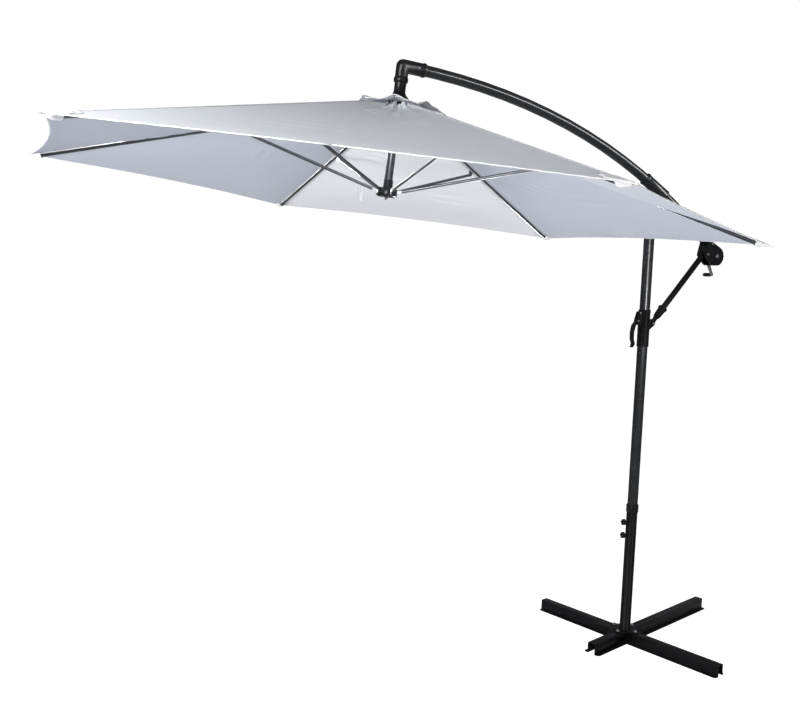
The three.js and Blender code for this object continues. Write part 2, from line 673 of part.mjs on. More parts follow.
function ribBody() {
  const end = (RIM_RADIUS - RIB.rimGap - HUB.pivotRadius) / ribCos;
  const lugLength = STRUT.length * Math.cos(lugAngle);
  const [lugR, lugH] = LUG;
  const lugOutline = [
    [lugR - 6, lugH - 3], [lugR, lugH - 6.5], [lugR + 6, lugH - 3],
    onRib(lugLength + 16, -6), onRib(lugLength - 16, -6),
  ];
  return cut(
    add(
      bar(onRib(22), onRib(end), RIB.radius, 8, { bore: RIB.radius - SPOKE_WALL }),
      // flat tongue in the hub slot, running into the tube
      link([disc(HUB_PIVOT, 6), disc(onRib(34), 6.6)], -3, 3, 8),
      plate(lugOutline, -2.5, 2.5),
    ),
    hole(HUB_PIVOT, 3, 8),
    hole(LUG, 2.8, 6),
  );
}

function strutBody() {
  const at = ray(RUNNER_PIVOT, unit(RUNNER_PIVOT, LUG));
  const fork = [disc(LUG, 6), disc(at(STRUT.length - 34), 4)];
  return cut(
    add(
      bar(at(22), at(STRUT.length - 28), STRUT.radius, 8, { bore: STRUT.radius - SPOKE_WALL }),
      link([disc(RUNNER_PIVOT, 5.5), disc(at(30), 5.8)], -3, 3, 8), // tongue
      ...[-1, 1].map(side => link(fork, ...sideSpan(side, 3.1, 6), 8)),
      pin(LUG, 2.2, -5, 5, 6),
    ),
    hole(RUNNER_PIVOT, 3, 8),
  );
}

const rib = ribBody();
const strut = strutBody();
RIB_NAMES.forEach((place, i) => {
  putCanopy(`rib_${place}`, rib, 'rib').rotation.z = RIB_ANGLES[i] * DEG;
  putCanopy(`strut_${place}`, strut, 'rib').rotation.z = RIB_ANGLES[i] * DEG;
});

// ---------------------------------------------------------------- runner and cord
// lower hub that hangs on the cord and seats on the centre tube
const RUNNER_PROFILE = [ // [radius, height]
  [4, 12], [36, 12], [43, 17], [43, 43], [40, 46],
  [20.5, 46], [20.5, 79], [17.5, 79], [17.5, 51], [4, 51],
];
putCanopy('runner', cut(
  turned(RUNNER_PROFILE, 18),
  pivotRing(RUNNER_PIVOT[1], WIRE_GROOVE_RADIUS),
  ...ribSlots(5, 47),
), 'plastic');
putCanopy('runner_wire', pivotRing(RUNNER_PIVOT[1], WIRE_RADIUS), 'steel');
putCanopy('cord_knot', sphere([0, 0, 5], 6.5, 10, 8), 'cord');

// from the spool through the arm and down the centre tube
function liftCord() {
  const armCordStart = 340;
  const lowered = ([x, z], drop) => [x, 0, z - drop];
  const insideArm = Array.from({ length: 11 }, (_, i) =>
    lowered(armPoint(armCordStart - (armCordStart - ARM_START) * (i + 1) / 12), 8));
  const onAxis = height => down(ELBOW_HEIGHT - height);
  return bent([
    [CRANK[0] - 15, 0, CRANK[1] + 22],
    [371, 0, armZ(371) - 10],
    ...insideArm,
    lowered(out(26), 6),
    [ELBOW[0] + 6, 0, ELBOW[1] - 9],
    down(30),
    ...[400, 200, 86].map(onAxis),
  ], 1.5, 0, 64, 4);
}
put('lift_cord', liftCord(), 'cord');

// ---------------------------------------------------------------- canopy fabric
const GORE_RADII = [FABRIC.ventRadius, 350, 700, 1050, 1300, RIM_RADIUS];
const GORE_ACROSS = [-1, -0.66, -0.33, 0, 0.33, 0.66, 1]; // seam, rib, seam

// underside of a gore at a radius along the rib and a share of the way across
function gorePoint(radius, across) {
  const seamX = Math.cos(30 * DEG);
  const seamY = Math.sin(30 * DEG);
  const away = Math.abs(across);
  const reach = radius / RIM_RADIUS;
  const bow = 1 - (1 - away) ** 2;
  const scallop = FABRIC.scallop * bow * reach ** 3;
  const gap = away === 1 ? FABRIC.seamGap : 0; // clearance to the next gore
  const x = radius * (1 - seamY ** 2 * away) - scallop * seamX + gap * seamY;
  const y = radius * seamX * seamY * away - scallop * seamY - gap * seamX;
  const sag = FABRIC.sag * bow * Math.sin(Math.PI * Math.min(1, reach * 0.9));
  const z = FABRIC.height - RIB.slope * (radius - HUB.pivotRadius) - sag;
  return [x, Math.sign(across) * y, z];
}

// one gore per rib, from mid-panel to mid-panel
function gore() {
  const bottom = GORE_RADII.flatMap(r => GORE_ACROSS.map(across => gorePoint(r, across)));
  const top = bottom.map(([x, y, z]) => [x, y, z + FABRIC.thickness]);
  const columns = GORE_ACROSS.length;
  const rows = GORE_RADII.length;
  const lift = rows * columns; // index step from the bottom to the top
  const triangles = [];
  const quad = (a, b, c, d) => triangles.push(a, b, c, a, c, d);

  for (let i = 0; i < rows - 1; i++) {
    for (let j = 0; j < columns - 1; j++) {
      const a = i * columns + j;
      const b = a + columns;
      const c = b + 1;
      const d = a + 1;
      // the diagonals mirror about the rib
      if (j < (columns - 1) / 2) {
        quad(lift + a, lift + b, lift + c, lift + d);
        quad(a, d, c, b);
      } else {
        quad(lift + b, lift + c, lift + d, lift + a);
        quad(b, a, d, c);
      }
    }
    const first = i * columns;
    const last = first + columns - 1;
    quad(first, first + columns, lift + first + columns, lift + first);
    quad(last, lift + last, lift + last + columns, last + columns);
  }
  for (let j = 0; j < columns - 1; j++) {
    const rim = (rows - 1) * columns + j;
    quad(j, lift + j, lift + j + 1, j + 1);
    quad(rim, rim + 1, lift + rim + 1, lift + rim);
  }
  const geometry = new THREE.BufferGeometry();
  const positions = new Float32Array([...bottom, ...top].flat());
  geometry.setAttribute('position', new THREE.BufferAttribute(positions, 3));
  geometry.setIndex(triangles);
  return solid(geometry);
}
const goreBody = gore();
RIB_NAMES.forEach((place, i) => {
  putCanopy(`gore_${place}`, goreBody, 'fabric').rotation.z = RIB_ANGLES[i] * DEG;
});

// small hexagonal cap over the vent opening
function ventCap() {
  const inner = 25;
  const outer = 195;
  const bottom = 383.2;
  const rim = bottom - 0.13 * (outer - 30);
  const profile = [[inner, bottom], [outer, rim], [outer, rim + 3], [inner, bottom + 3.4]];
  return turned(profile, 6, Math.PI / 3);
}
putCanopy('vent_cap', ventCap(), 'fabric');

export default parasol;
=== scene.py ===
# A cantilever parasol, open. The mast stands near x = 0 and the canopy hangs from the arm on the
# -X side ("far" is -X, "front" is -Y, +Z is up, metres). The CAD parts get rounded edges and
# materials; the cloth of the six-sided canopy is built here, settled under its own weight.
import json
import math
import bpy
import bmesh
import numpy as np
from mathutils import Vector, Matrix, noise

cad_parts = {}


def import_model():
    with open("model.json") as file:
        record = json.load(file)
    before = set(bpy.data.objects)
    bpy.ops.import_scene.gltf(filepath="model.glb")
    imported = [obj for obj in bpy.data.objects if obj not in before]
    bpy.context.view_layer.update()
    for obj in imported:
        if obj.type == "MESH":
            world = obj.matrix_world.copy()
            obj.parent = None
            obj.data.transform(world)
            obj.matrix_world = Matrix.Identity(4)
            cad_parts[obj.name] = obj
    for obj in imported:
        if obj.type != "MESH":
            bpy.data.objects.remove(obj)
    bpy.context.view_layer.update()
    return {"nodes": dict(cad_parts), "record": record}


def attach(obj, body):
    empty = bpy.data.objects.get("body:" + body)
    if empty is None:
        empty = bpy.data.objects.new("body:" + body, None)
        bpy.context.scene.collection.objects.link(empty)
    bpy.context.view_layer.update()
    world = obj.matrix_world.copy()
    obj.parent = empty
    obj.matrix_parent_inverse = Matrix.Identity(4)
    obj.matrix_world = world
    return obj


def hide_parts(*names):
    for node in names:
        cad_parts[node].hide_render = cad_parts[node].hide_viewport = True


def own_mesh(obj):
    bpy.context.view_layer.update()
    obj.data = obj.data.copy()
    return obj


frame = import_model()

# ------------------------------------------------------------------ canopy frame
# Canopy coordinates: origin on the canopy's axis, z up along it. A rib's own coordinates:
# x out along the rib, y across it, z as in the canopy.
LEAN = math.radians(4.258)                # about Y, tips the axis towards the mast (+X)
ROLL = math.radians(2.982)                # about X, tips the axis towards the front (-Y)
LEAN_TURN = np.array([[math.cos(LEAN), 0, math.sin(LEAN)],
                      [0, 1, 0],
                      [-math.sin(LEAN), 0, math.cos(LEAN)]])
ROLL_TURN = np.array([[1, 0, 0],
                      [0, math.cos(ROLL), -math.sin(ROLL)],
                      [0, math.sin(ROLL), math.cos(ROLL)]])
TURN = LEAN_TURN @ ROLL_TURN
AXIS_POINT = np.array([-1.292, 0, 2.523])  # a point on the canopy's axis
ORIGIN = AXIS_POINT - 0.527 * TURN[:, 2]
RIBS = ["mast_rear", "rear", "far_rear", "far_front", "front", "mast_front"]
AZIMUTH = [math.radians(30 + 60 * rib) for rib in range(6)]


def world(points):
    """Canopy coordinates to world coordinates."""
    return ORIGIN + np.asarray(points, float) @ TURN.T


def from_rib(rib, x, y, z):
    """Rib coordinates to canopy coordinates."""
    cos, sin = math.cos(AZIMUTH[rib]), math.sin(AZIMUTH[rib])
    return np.stack([x * cos - y * sin, x * sin + y * cos, z], -1)


def unit(vectors):
    length = np.linalg.norm(vectors, axis=-1, keepdims=True)
    return vectors / np.maximum(length, 1e-12)


def pair(u, v):
    return np.stack([u, v], -1)


def grid(first, second):
    return np.meshgrid(first, second, indexing="ij")


# ------------------------------------------------------------------ node trees
BLACK, WHITE = (0, 0, 0), (1, 1, 1)


class Tree:
    """The node tree of a material or world. An input takes a value or another node's output."""

    def __init__(self, owner):
        owner.use_nodes = True
        self.owner = owner
        self.tree = owner.node_tree
        self.tree.nodes.clear()

    def node(self, kind, inputs=None, **properties):
        node = self.tree.nodes.new("ShaderNode" + kind)
        for key, value in properties.items():
            setattr(node, key, value)
        for key, value in (inputs or {}).items():
            socket = node.inputs[key]
            if isinstance(value, bpy.types.NodeSocket):
                self.tree.links.new(value, socket)
            elif socket.type == "RGBA":
                socket.default_value = (*value, 1)
            else:
                socket.default_value = value
        return node

    def out(self, kind, inputs=None, output=0, **properties):
        """Add a node and return one of its outputs."""
        return self.node(kind, inputs, **properties).outputs[output]

    def math(self, operation, *values, clamp=False):
        return self.out("Math", dict(enumerate(values)), operation=operation, use_clamp=clamp)

    def add(self, a, b, clamp=False):
        return self.math("ADD", a, b, clamp=clamp)

    def mul(self, a, b, clamp=False):
        return self.math("MULTIPLY", a, b, clamp=clamp)

    def ramp(self, factor, stops, colors=(BLACK, WHITE)):
        node = self.node("ValToRGB", {0: factor})
        for element, stop, color in zip(node.color_ramp.elements, stops, colors):
            element.position = stop
            element.color = (*color, 1)
        return node.outputs[0]

    def object_coords(self):
        return self.out("TexCoord", output="Object")

    def mapped(self, vector, scale, rotation=(0, 0, 0)):
        return self.out("Mapping", {"Scale": scale, "Rotation": rotation, "Vector": vector})

    def noise(self, vector, scale, detail, rough):
        return self.out("TexNoise", {"Scale": scale, "Detail": detail, "Roughness": rough,
                                     "Vector": vector}, "Fac")

    def bump(self, height, strength, distance, normal=None):
        inputs = {"Strength": strength, "Distance": distance, "Height": height}
        if normal is not None:
            inputs["Normal"] = normal
        return self.out("Bump", inputs)

    def mix(self, factor, a, b, blend="MIX"):
        """Mix two colours (inputs 6 and 7 are the colour pair)."""
        return self.out("Mix", {"Factor": factor, 6: a, 7: b}, 2, data_type="RGBA",
                        blend_type=blend)

    def edge_wear(self, low, high):
        """Mask of the convex edges."""
        return self.ramp(self.out("NewGeometry", output="Pointiness"), (low, high))

    def surface(self, shader):
        self.node("OutputMaterial", {"Surface": shader})
        return self.owner


def new_material(name):
    return Tree(bpy.data.materials.new(name))


def shade(color, gain, lift=0):
    return tuple(x * gain + lift for x in color)


# ------------------------------------------------------------------ materials
def coated_metal(name, base, rough, coat, metallic=0.0, spec=0.35):
    """Lacquer or powder coat with flakes, worn edges and a trace of dust on top."""
    t = new_material(name)
    coords = t.object_coords()
    cloud = t.noise(coords, scale=7.0, detail=5.0, rough=0.6)
    grain = t.noise(coords, scale=1400.0, detail=2.0, rough=0.6)
    peel = t.noise(coords, scale=260.0, detail=2.0, rough=0.5)
    speck = t.out("TexVoronoi", {"Scale": 900.0, "Vector": coords}, "Distance", feature="F1")
    color = t.ramp(cloud, (0.3, 0.7), (shade(base, 0.80), shade(base, 1.25, lift=0.002)))
    flake = t.ramp(speck, (0.0, 0.2), (shade(base, 1.2, lift=0.002), BLACK))
    color = t.mix(0.2, color, flake, blend="ADD")

    scratch = t.noise(t.mapped(coords, scale=(30, 30, 240)), scale=1.0, detail=6.0, rough=0.7)
    worn = t.mul(t.edge_wear(low=0.52, high=0.60), t.ramp(scratch, (0.48, 0.62)))
    worn = t.mul(worn, 0.22)
    color = t.mix(worn, color, (0.10, 0.105, 0.11))

    normal = t.out("NewGeometry", output="Normal")
    facing_up = t.math("MAXIMUM", t.node("SeparateXYZ", {0: normal}).outputs[2], 0.0)
    dust = t.mul(facing_up, t.mul(t.noise(coords, scale=22.0, detail=6.0, rough=0.65), 0.010))
    color = t.mix(dust, color, (0.42, 0.41, 0.39))

    roughness = t.add(t.mul(cloud, 0.10), t.mul(scratch, 0.06))
    roughness = t.add(roughness, rough - 0.08, clamp=True)
    coat_normal = t.bump(peel, strength=0.05, distance=0.0004)
    return t.surface(t.out("BsdfPrincipled", {
        "Base Color": color,
        "Roughness": roughness,
        "Metallic": metallic,
        "Coat Weight": coat,
        "Coat Roughness": 0.14,
        "Specular IOR Level": spec,
        "Normal": t.bump(grain, strength=0.08, distance=0.0001, normal=coat_normal),
        "Coat Normal": coat_normal,
    }))


def moulded(name, base, rough):
    """Plastic with a fine cell texture, flow marks and paler edges."""
    t = new_material(name)
    coords = t.object_coords()
    cells = t.out("TexVoronoi", {"Scale": 700.0, "Vector": coords}, "Distance",
                  feature="SMOOTH_F1")
    grain = t.noise(coords, scale=1800.0, detail=3.0, rough=0.6)
    cloud = t.noise(coords, scale=16.0, detail=5.0, rough=0.6)
    flow = t.noise(t.mapped(coords, scale=(60, 60, 9)), scale=1.0, detail=4.0, rough=0.6)
    color = t.ramp(cloud, (0.3, 0.72), (shade(base, 0.8), shade(base, 1.35, lift=0.002)))
    worn = t.mul(t.edge_wear(low=0.52, high=0.62), 0.18)
    roughness = t.add(t.mul(cloud, 0.12), t.mul(flow, 0.08))
    cell_normal = t.bump(cells, strength=0.14, distance=0.0004)
    return t.surface(t.out("BsdfPrincipled", {
        "Base Color": t.mix(worn, color, (0.06, 0.062, 0.066)),
        "Roughness": t.add(roughness, rough - 0.10, clamp=True),
        "Specular IOR Level": 0.36,
        "Normal": t.bump(grain, strength=0.12, distance=0.0002, normal=cell_normal),
    }))


def bright_steel(name):
    """Blotchy bright metal with fine lines."""
    t = new_material(name)
    coords = t.object_coords()
    lines = t.noise(t.mapped(coords, scale=(900, 900, 60)), scale=1.0, detail=3.0, rough=0.6)
    blotch = t.noise(coords, scale=60.0, detail=5.0, rough=0.6)
    return t.surface(t.out("BsdfPrincipled", {
        "Base Color": t.ramp(blotch, (0.3, 0.7), ((0.50, 0.51, 0.53), (0.74, 0.74, 0.75))),
        "Metallic": 1.0,
        "Roughness": t.add(t.mul(blotch, 0.16), 0.16),
        "Normal": t.bump(lines, strength=0.10, distance=0.0002),
    }))


def braided_cord(name):
    """Two crossing sets of diagonal bands."""
    t = new_material(name)
    coords = t.object_coords()

    def bands(vector):
        return t.out("TexWave", {"Scale": 300.0, "Vector": vector}, "Fac",
                     wave_type="BANDS", bands_direction="DIAGONAL")

    one_way = bands(coords)
    braid = t.math("MAXIMUM", one_way, bands(t.mapped(coords, scale=(1, -1, -1))))
    return t.surface(t.out("BsdfPrincipled", {
        "Base Color": t.ramp(braid, (0.1, 0.9), ((0.55, 0.55, 0.54), (0.84, 0.84, 0.83))),
        "Roughness": 0.75,
        "Sheen Weight": 0.3,
        "Normal": t.bump(braid, strength=0.4, distance=0.0004),
    }))


def plain_weave(t, u, v, thread):
    """Height of warp and weft threads that cross over and under."""
    turns = 2 * math.pi / thread

    def wave(along, rate):
        return t.math("SINE", t.mul(along, rate))

    warp, weft = wave(u, turns), wave(v, turns)
    over = t.mul(wave(u, turns * 0.5), wave(v, turns * 0.5))
    threads = t.add(t.math("ABSOLUTE", warp), t.math("ABSOLUTE", weft))
    return t.add(t.mul(threads, 0.35), t.mul(over, 0.3))


def drawn_creases(t, uv, v):
    """Ridges that grow stronger towards the vent (v is the distance from the hem)."""
    slanted = t.mapped(uv, scale=(4.5, 26.0, 1.0), rotation=(0, 0, 0.12))
    ridge = t.noise(slanted, scale=1.0, detail=5.0, rough=0.55)
    ridge = t.math("ABSOLUTE", t.math("SUBTRACT", ridge, 0.5))
    mask = t.mul(t.math("SUBTRACT", v, 0.75), 1.6, clamp=True)
    return t.mul(ridge, t.add(t.mul(mask, mask), 0.10))


def hem_stitches(t, u, v):
    """Mask of two dashed rows of stitching along the hem."""
    pitch, half_width = 0.0048, 0.0008
    dash = t.math("GREATER_THAN", t.math("SINE", t.mul(u, 2 * math.pi / pitch)), -0.35)

    def row(from_edge):
        away = t.math("ABSOLUTE", t.math("SUBTRACT", v, from_edge))
        return t.math("LESS_THAN", away, half_width)

    return t.mul(t.math("MAXIMUM", row(0.0055), row(0.0235)), dash)


def fabric(name, tint, through, translucency, thread=0.0022, stitched=True):
    """Plain weave on a UV map in metres: u along the rim, v from the hem inwards."""
    t = new_material(name)
    uv = t.out("UVMap", uv_map="UVMap")
    u, v = t.node("SeparateXYZ", {0: uv}).outputs[:2]
    weave = plain_weave(t, u, v, thread)
    # Slubs: threads of uneven thickness, in both directions.
    slub_u = t.noise(t.mapped(uv, scale=(3.0, 420.0, 1.0)), scale=1.0, detail=3.0, rough=0.6)
    slub_v = t.noise(t.mapped(uv, scale=(420.0, 3.0, 1.0)), scale=1.0, detail=3.0, rough=0.6)
    slub = t.add(slub_u, slub_v)
    coords = t.object_coords()
    cloud = t.noise(coords, scale=1.6, detail=6.0, rough=0.55)
    crease = t.noise(coords, scale=14.0, detail=6.0, rough=0.6)

    tone = t.add(t.mul(slub, 0.05), t.mul(cloud, 0.06))
    tone = t.add(tone, t.mul(weave, 0.02))
    tone = t.add(tone, 0.915)
    color = t.out("VectorMath", {0: tint, "Scale": tone}, operation="SCALE")

    height = t.add(t.mul(weave, 0.6), t.mul(slub, 0.5))
    ridge = drawn_creases(t, uv, v)
    sheet_normal = t.bump(crease, strength=0.16, distance=0.005)
    sheet_normal = t.bump(ridge, strength=0.55, distance=0.030, normal=sheet_normal)
    normal = t.bump(height, strength=0.22, distance=0.0004, normal=sheet_normal)
    if stitched:
        stitch = hem_stitches(t, u, v)
        color = t.mix(stitch, color, (0.66, 0.67, 0.70))
        normal = t.bump(stitch, strength=0.5, distance=0.0006, normal=normal)

    cloth = t.out("BsdfPrincipled", {
        "Base Color": color,
        "Roughness": t.add(t.mul(slub, 0.08), 0.80 - 0.08, clamp=True),
        "Sheen Weight": 0.06,
        "Sheen Roughness": 0.4,
        "Specular IOR Level": 0.10,
        "Normal": normal,
    })
    glow = t.out("BsdfTranslucent", {"Color": through, "Normal": sheet_normal})
    return t.surface(t.out("MixShader", {0: translucency, 1: cloth, 2: glow}))


FRAME_COAT = coated_metal("powder_coat_anthracite", base=(0.0080, 0.0085, 0.0100),
                          rough=0.30, coat=0.18, spec=0.24)
BASE_COAT = coated_metal("powder_coat_black", base=(0.0045, 0.0047, 0.0055),
                         rough=0.40, coat=0.06, spec=0.22)
PLASTIC = moulded("moulded_black_nylon", base=(0.0055, 0.0057, 0.0066), rough=0.36)
RIB_LACQUER = coated_metal("rib_lacquer_dark_grey", base=(0.125, 0.129, 0.142),
                           rough=0.36, coat=0.10, metallic=1.0)
STEEL = bright_steel("bright_zinc_steel")
CORD = braided_cord("braided_white_cord")
OUTER = fabric("canopy_fabric_outer", tint=(0.82, 0.835, 0.875),
               through=(0.82, 0.84, 0.88), translucency=0.20)
# Underside of the cloth: the outer fabric's colour with painted shade, darker and bluer, standing
# in for the shade under the canopy.
INNER_PAINTED_SHADE = fabric("canopy_fabric_inner", tint=(0.67, 0.70, 0.78),
               through=(0.74, 0.77, 0.84), translucency=0.24)
# Two copies of the underside fabric with painted light: a lighter one as painted backlight, a
# darker one as deeper painted shade.
INNER_SHADED = fabric("canopy_fabric_inner_shaded", tint=(0.47, 0.50, 0.58),
                      through=(0.52, 0.56, 0.64), translucency=0.16)
INNER_BACKLIT = fabric("canopy_fabric_inner_backlit", tint=(0.90, 0.90, 0.92),
                       through=(0.92, 0.92, 0.93), translucency=0.30)
BINDING = fabric("white_binding", tint=(0.93, 0.93, 0.94), through=(0.9, 0.9, 0.92),
                 translucency=0.10, thread=0.0016, stitched=False)

# Material slots of the canopy cloth, and their numbers.
CLOTH_MATERIALS = [OUTER, INNER_PAINTED_SHADE, BINDING, INNER_BACKLIT, INNER_SHADED]
# UNDER is the slot of the painted-shade underside; BACKLIT and SHADED are its copies with painted
# backlight and deeper painted shade.
TOP, UNDER, WHITE_EDGE, BACKLIT, SHADED = range(5)


# ------------------------------------------------------------------ CAD parts
def smooth_group(limit_degrees):
    """Node group: smooth shading, with edges sharper than the limit kept sharp."""
    group = bpy.data.node_groups.new("smooth_by_angle_%d" % limit_degrees, "GeometryNodeTree")
    for in_out in ("INPUT", "OUTPUT"):
        group.interface.new_socket("Geometry", in_out=in_out,
                                   socket_type="NodeSocketGeometry")
    new, join = group.nodes.new, group.links.new
    source, result = new("NodeGroupInput"), new("NodeGroupOutput")
    angle = new("GeometryNodeInputMeshEdgeAngle")
    sharp = new("FunctionNodeCompare")
    sharp.data_type = "FLOAT"
    sharp.operation = "GREATER_THAN"
    sharp.inputs[1].default_value = math.radians(limit_degrees)
    smooth_faces = new("GeometryNodeSetShadeSmooth")
    smooth_faces.domain = "FACE"
    smooth_faces.inputs["Shade Smooth"].default_value = True
    sharp_edges = new("GeometryNodeSetShadeSmooth")
    sharp_edges.domain = "EDGE"
    sharp_edges.inputs["Shade Smooth"].default_value = False
    join(angle.outputs["Unsigned Angle"], sharp.inputs[0])
    join(source.outputs[0], smooth_faces.inputs["Geometry"])
    join(smooth_faces.outputs[0], sharp_edges.inputs["Geometry"])
    join(sharp.outputs["Result"], sharp_edges.inputs["Selection"])
    join(sharp_edges.outputs[0], result.inputs[0])
    return group


SMOOTH = smooth_group(47)
SLOT_MATERIAL = {"frame_black": FRAME_COAT, "moulded_black": PLASTIC, "rib_grey": RIB_LACQUER,
                 "bolt_steel": STEEL, "cord_white": CORD, "canopy_fabric": OUTER}
BASE_PARTS = ("base_leg_long", "base_leg_cross", "mast_foot")
CLOTH_PARTS = ("gore_", "vent_cap")
SMALL_PARTS = ("base_bolt", "housing_rivet", "elbow_screw", "lever_pin", "slider_bolt",
               "brace_pin", "crank_shaft")
THIN_PARTS = ("rib_", "strut_", "lift_cord", "cord_knot", "upper_hub_wire", "runner_wire")


def edge_width(name):
    if name.startswith(SMALL_PARTS):
        return 0.0004
    return 0.0009 if name.startswith("base_leg") else 0.0011


def dress_cad_part(name, ob, material):
    """Weld, round the edges (thin parts keep theirs) and shade smooth."""
    ob.data.materials.clear()
    ob.data.materials.append(material)
    for face in ob.data.polygons:
        face.material_index = 0
    ob.modifiers.new("weld", "WELD").merge_threshold = 3e-5
    if name.startswith(CLOTH_PARTS):
        return
    if not name.startswith(THIN_PARTS):
        bevel = ob.modifiers.new("edge", "BEVEL")
        bevel.width = edge_width(name)
        bevel.segments = 2
        bevel.limit_method = "ANGLE"
        bevel.angle_limit = math.radians(50)
        bevel.use_clamp_overlap = True
    ob.modifiers.new("smooth", "NODES").node_group = SMOOTH


slot_of = {part["node"]: part["material_slot"] for part in frame["record"]["subparts"]}
for name, ob in frame["nodes"].items():
    in_base = name in BASE_PARTS
    dress_cad_part(name, ob, BASE_COAT if in_base else SLOT_MATERIAL[slot_of[name]])


# ------------------------------------------------------------------ mesh building
def make_mesh(name, verts, faces, materials, slots=None, uvs=None):
    """Smooth-shaded mesh object; uvs holds one (u, v) for each vertex."""
    mesh = bpy.data.meshes.new(name)
    mesh.from_pydata([tuple(map(float, v)) for v in verts], [],
                     [tuple(int(i) for i in face) for face in faces])
    for material in materials:
        mesh.materials.append(material)
    if slots is not None:
        mesh.polygons.foreach_set("material_index", np.asarray(slots, np.int32))
    mesh.polygons.foreach_set("use_smooth", np.full(len(mesh.polygons), True))
    if uvs is not None:
        layer = mesh.uv_layers.new(name="UVMap")
        corners = np.zeros(len(mesh.loops), np.int32)
        mesh.loops.foreach_get("vertex_index", corners)
        layer.data.foreach_set("uv", np.asarray(uvs, np.float32)[corners].ravel())
    mesh.validate()
    mesh.update()
    ob = bpy.data.objects.new(name, mesh)
    bpy.context.scene.collection.objects.link(ob)
    return ob


def make_solid(*args):
    """make_mesh, with every face turned outwards."""
    ob = make_mesh(*args)
    bm = bmesh.new()
    bm.from_mesh(ob.data)
    bmesh.ops.recalc_face_normals(bm, faces=bm.faces)
    bm.to_mesh(ob.data)
    bm.free()
    return ob


def run_length(path):
    """Distance along a path at each of its points."""
    return np.concatenate([[0], np.cumsum(np.linalg.norm(np.diff(path, axis=0), axis=1))])


class Parts:
    """Closed pieces gathered into one mesh."""

    def __init__(self):
        self.verts, self.faces, self.slots, self.uvs, self.count = [], [], [], [], 0

    def add(self, verts, faces, slots, uvs):
        self.verts.append(np.asarray(verts, float))
        self.uvs.append(np.asarray(uvs, float))
        self.faces += [tuple(self.count + int(k) for k in face) for face in faces]
        self.slots += list(slots)
        self.count += len(verts)

    def sheet(self, top, bottom, uv, top_slot, bottom_slot, side_slot, flip=False):
        """Closed solid between two grids; a top or bottom slot may be given row by row."""
        rows, cols = top.shape[:2]
        below = rows * cols                          # offset to the bottom vertices
        top_slots = np.broadcast_to(top_slot, rows - 1)
        bottom_slots = np.broadcast_to(bottom_slot, rows - 1)
        faces, slots = [], []
        for i in range(rows - 1):
            for j in range(cols - 1):
                a = i * cols + j
                b, c, d = a + cols, a + cols + 1, a + 1
                faces += [(a, b, c, d), (below + d, below + c, below + b, below + a)]
                slots += [top_slots[i], bottom_slots[i]]
        border = [j for j in range(cols)]
        border += [i * cols + cols - 1 for i in range(1, rows)]
        border += [(rows - 1) * cols + j for j in range(cols - 2, -1, -1)]
        border += [i * cols for i in range(rows - 2, 0, -1)]
        for a, b in zip(border, border[1:] + border[:1]):
            faces.append((a, b, below + b, below + a))
            slots.append(side_slot)
        if flip:
            faces = [tuple(reversed(face)) for face in faces]
        verts = np.concatenate([top.reshape(-1, 3), bottom.reshape(-1, 3)])
        self.add(verts, faces, slots, np.concatenate([uv.reshape(-1, 2)] * 2))

    def cord(self, path, radius, sides):
        """Round white cord with closed ends along a list of points."""
        along = unit(np.gradient(path, axis=0))
        across = unit(np.cross(along, np.array([0, 0, 1.0])))
        other = np.cross(along, across)
        angle = np.arange(sides) / sides * 2 * np.pi
        cos, sin = np.cos(angle)[None, :, None], np.sin(angle)[None, :, None]
        rings = path[:, None] + radius * (cos * across[:, None] + sin * other[:, None])
        last = len(path) - 1
        faces = []
        for i in range(last):
            for j in range(sides):
                k = (j + 1) % sides
                faces.append((i * sides + j, (i + 1) * sides + j,
                              (i + 1) * sides + k, i * sides + k))
        faces.append(tuple(reversed(range(sides))))
        faces.append(tuple(last * sides + j for j in range(sides)))
        uv = pair(np.repeat(run_length(path), sides), np.tile(angle * radius, len(path)))
        self.add(rings.reshape(-1, 3), faces, [WHITE_EDGE] * len(faces), uv)

    def build(self, name, materials, place=np.asarray):
        return make_solid(name, place(np.concatenate(self.verts)), self.faces, materials,
                          self.slots, np.concatenate(self.uvs))


# ------------------------------------------------------------------ canopy surface
# The cloth is described in twelve half gores, each from a rib (across = 0) to the mid-line of
# the panel (across = 1), on the side +1 towards the next rib or -1 towards the one before.
# The radius of a point is read on the rib: lines of equal radius run straight across a panel.
RIM = 1.5                  # radius of the hem at a rib
VENT = 0.110               # radius of the hole under the vent cap
UNDERSIDE_Z = 0.385        # underside of the cloth at SLOPE_START
SLOPE = 0.26               # fall per metre of radius
SLOPE_START = 0.038
SAG = 0.014                # dip of a panel half-way out
SCALLOP = 0.040            # how far the hem is cut in at the mid-line
SCALLOP_RISE = 0.3002      # rise of the surface per metre of cut
MID_LIFT = 0.002           # from the underside of the CAD gore up to the cloth
HALF_CLOTH = 0.0006        # half the thickness of the cloth
HEM = 0.026                # width of the hem
COS30 = 0.8660254
TAN30 = 0.57735
WIDTH = 0.433              # half gore's width per metre of radius, as used for UVs and folds


def scallop(radius, across):
    """How far the hem's inward cut moves a point; it fades towards the vent."""
    return SCALLOP * (1 - (1 - across) ** 2) * (radius / RIM) ** 3


def underside_z(radius, across):
    sag = SAG * (1 - (1 - across) ** 2) * np.sin(np.pi * np.minimum(1, radius / RIM))
    slope = UNDERSIDE_Z - SLOPE * (radius - SLOPE_START)
    return slope - sag + SCALLOP_RISE * scallop(radius, across)


def half_sheet(rib, side, radius, across):
    """Smooth mid-surface of a half gore."""
    cut = scallop(radius, across)
    x = radius * (1 - 0.25 * across) - cut * COS30
    y = radius * (COS30 / 2) * across - cut * 0.5
    return from_rib(rib, x, side * y, underside_z(radius, across) + MID_LIFT)


def across_panel(rib, side, across):
    """Number of the panel's first rib, and the share of its width from that rib."""
    return (rib, across / 2) if side > 0 else ((rib - 1) % 6, 1 - across / 2)


FOLD_PHASE = [0.4, 2.1, 3.9, 5.2, 1.3, 4.4]        # one for each panel
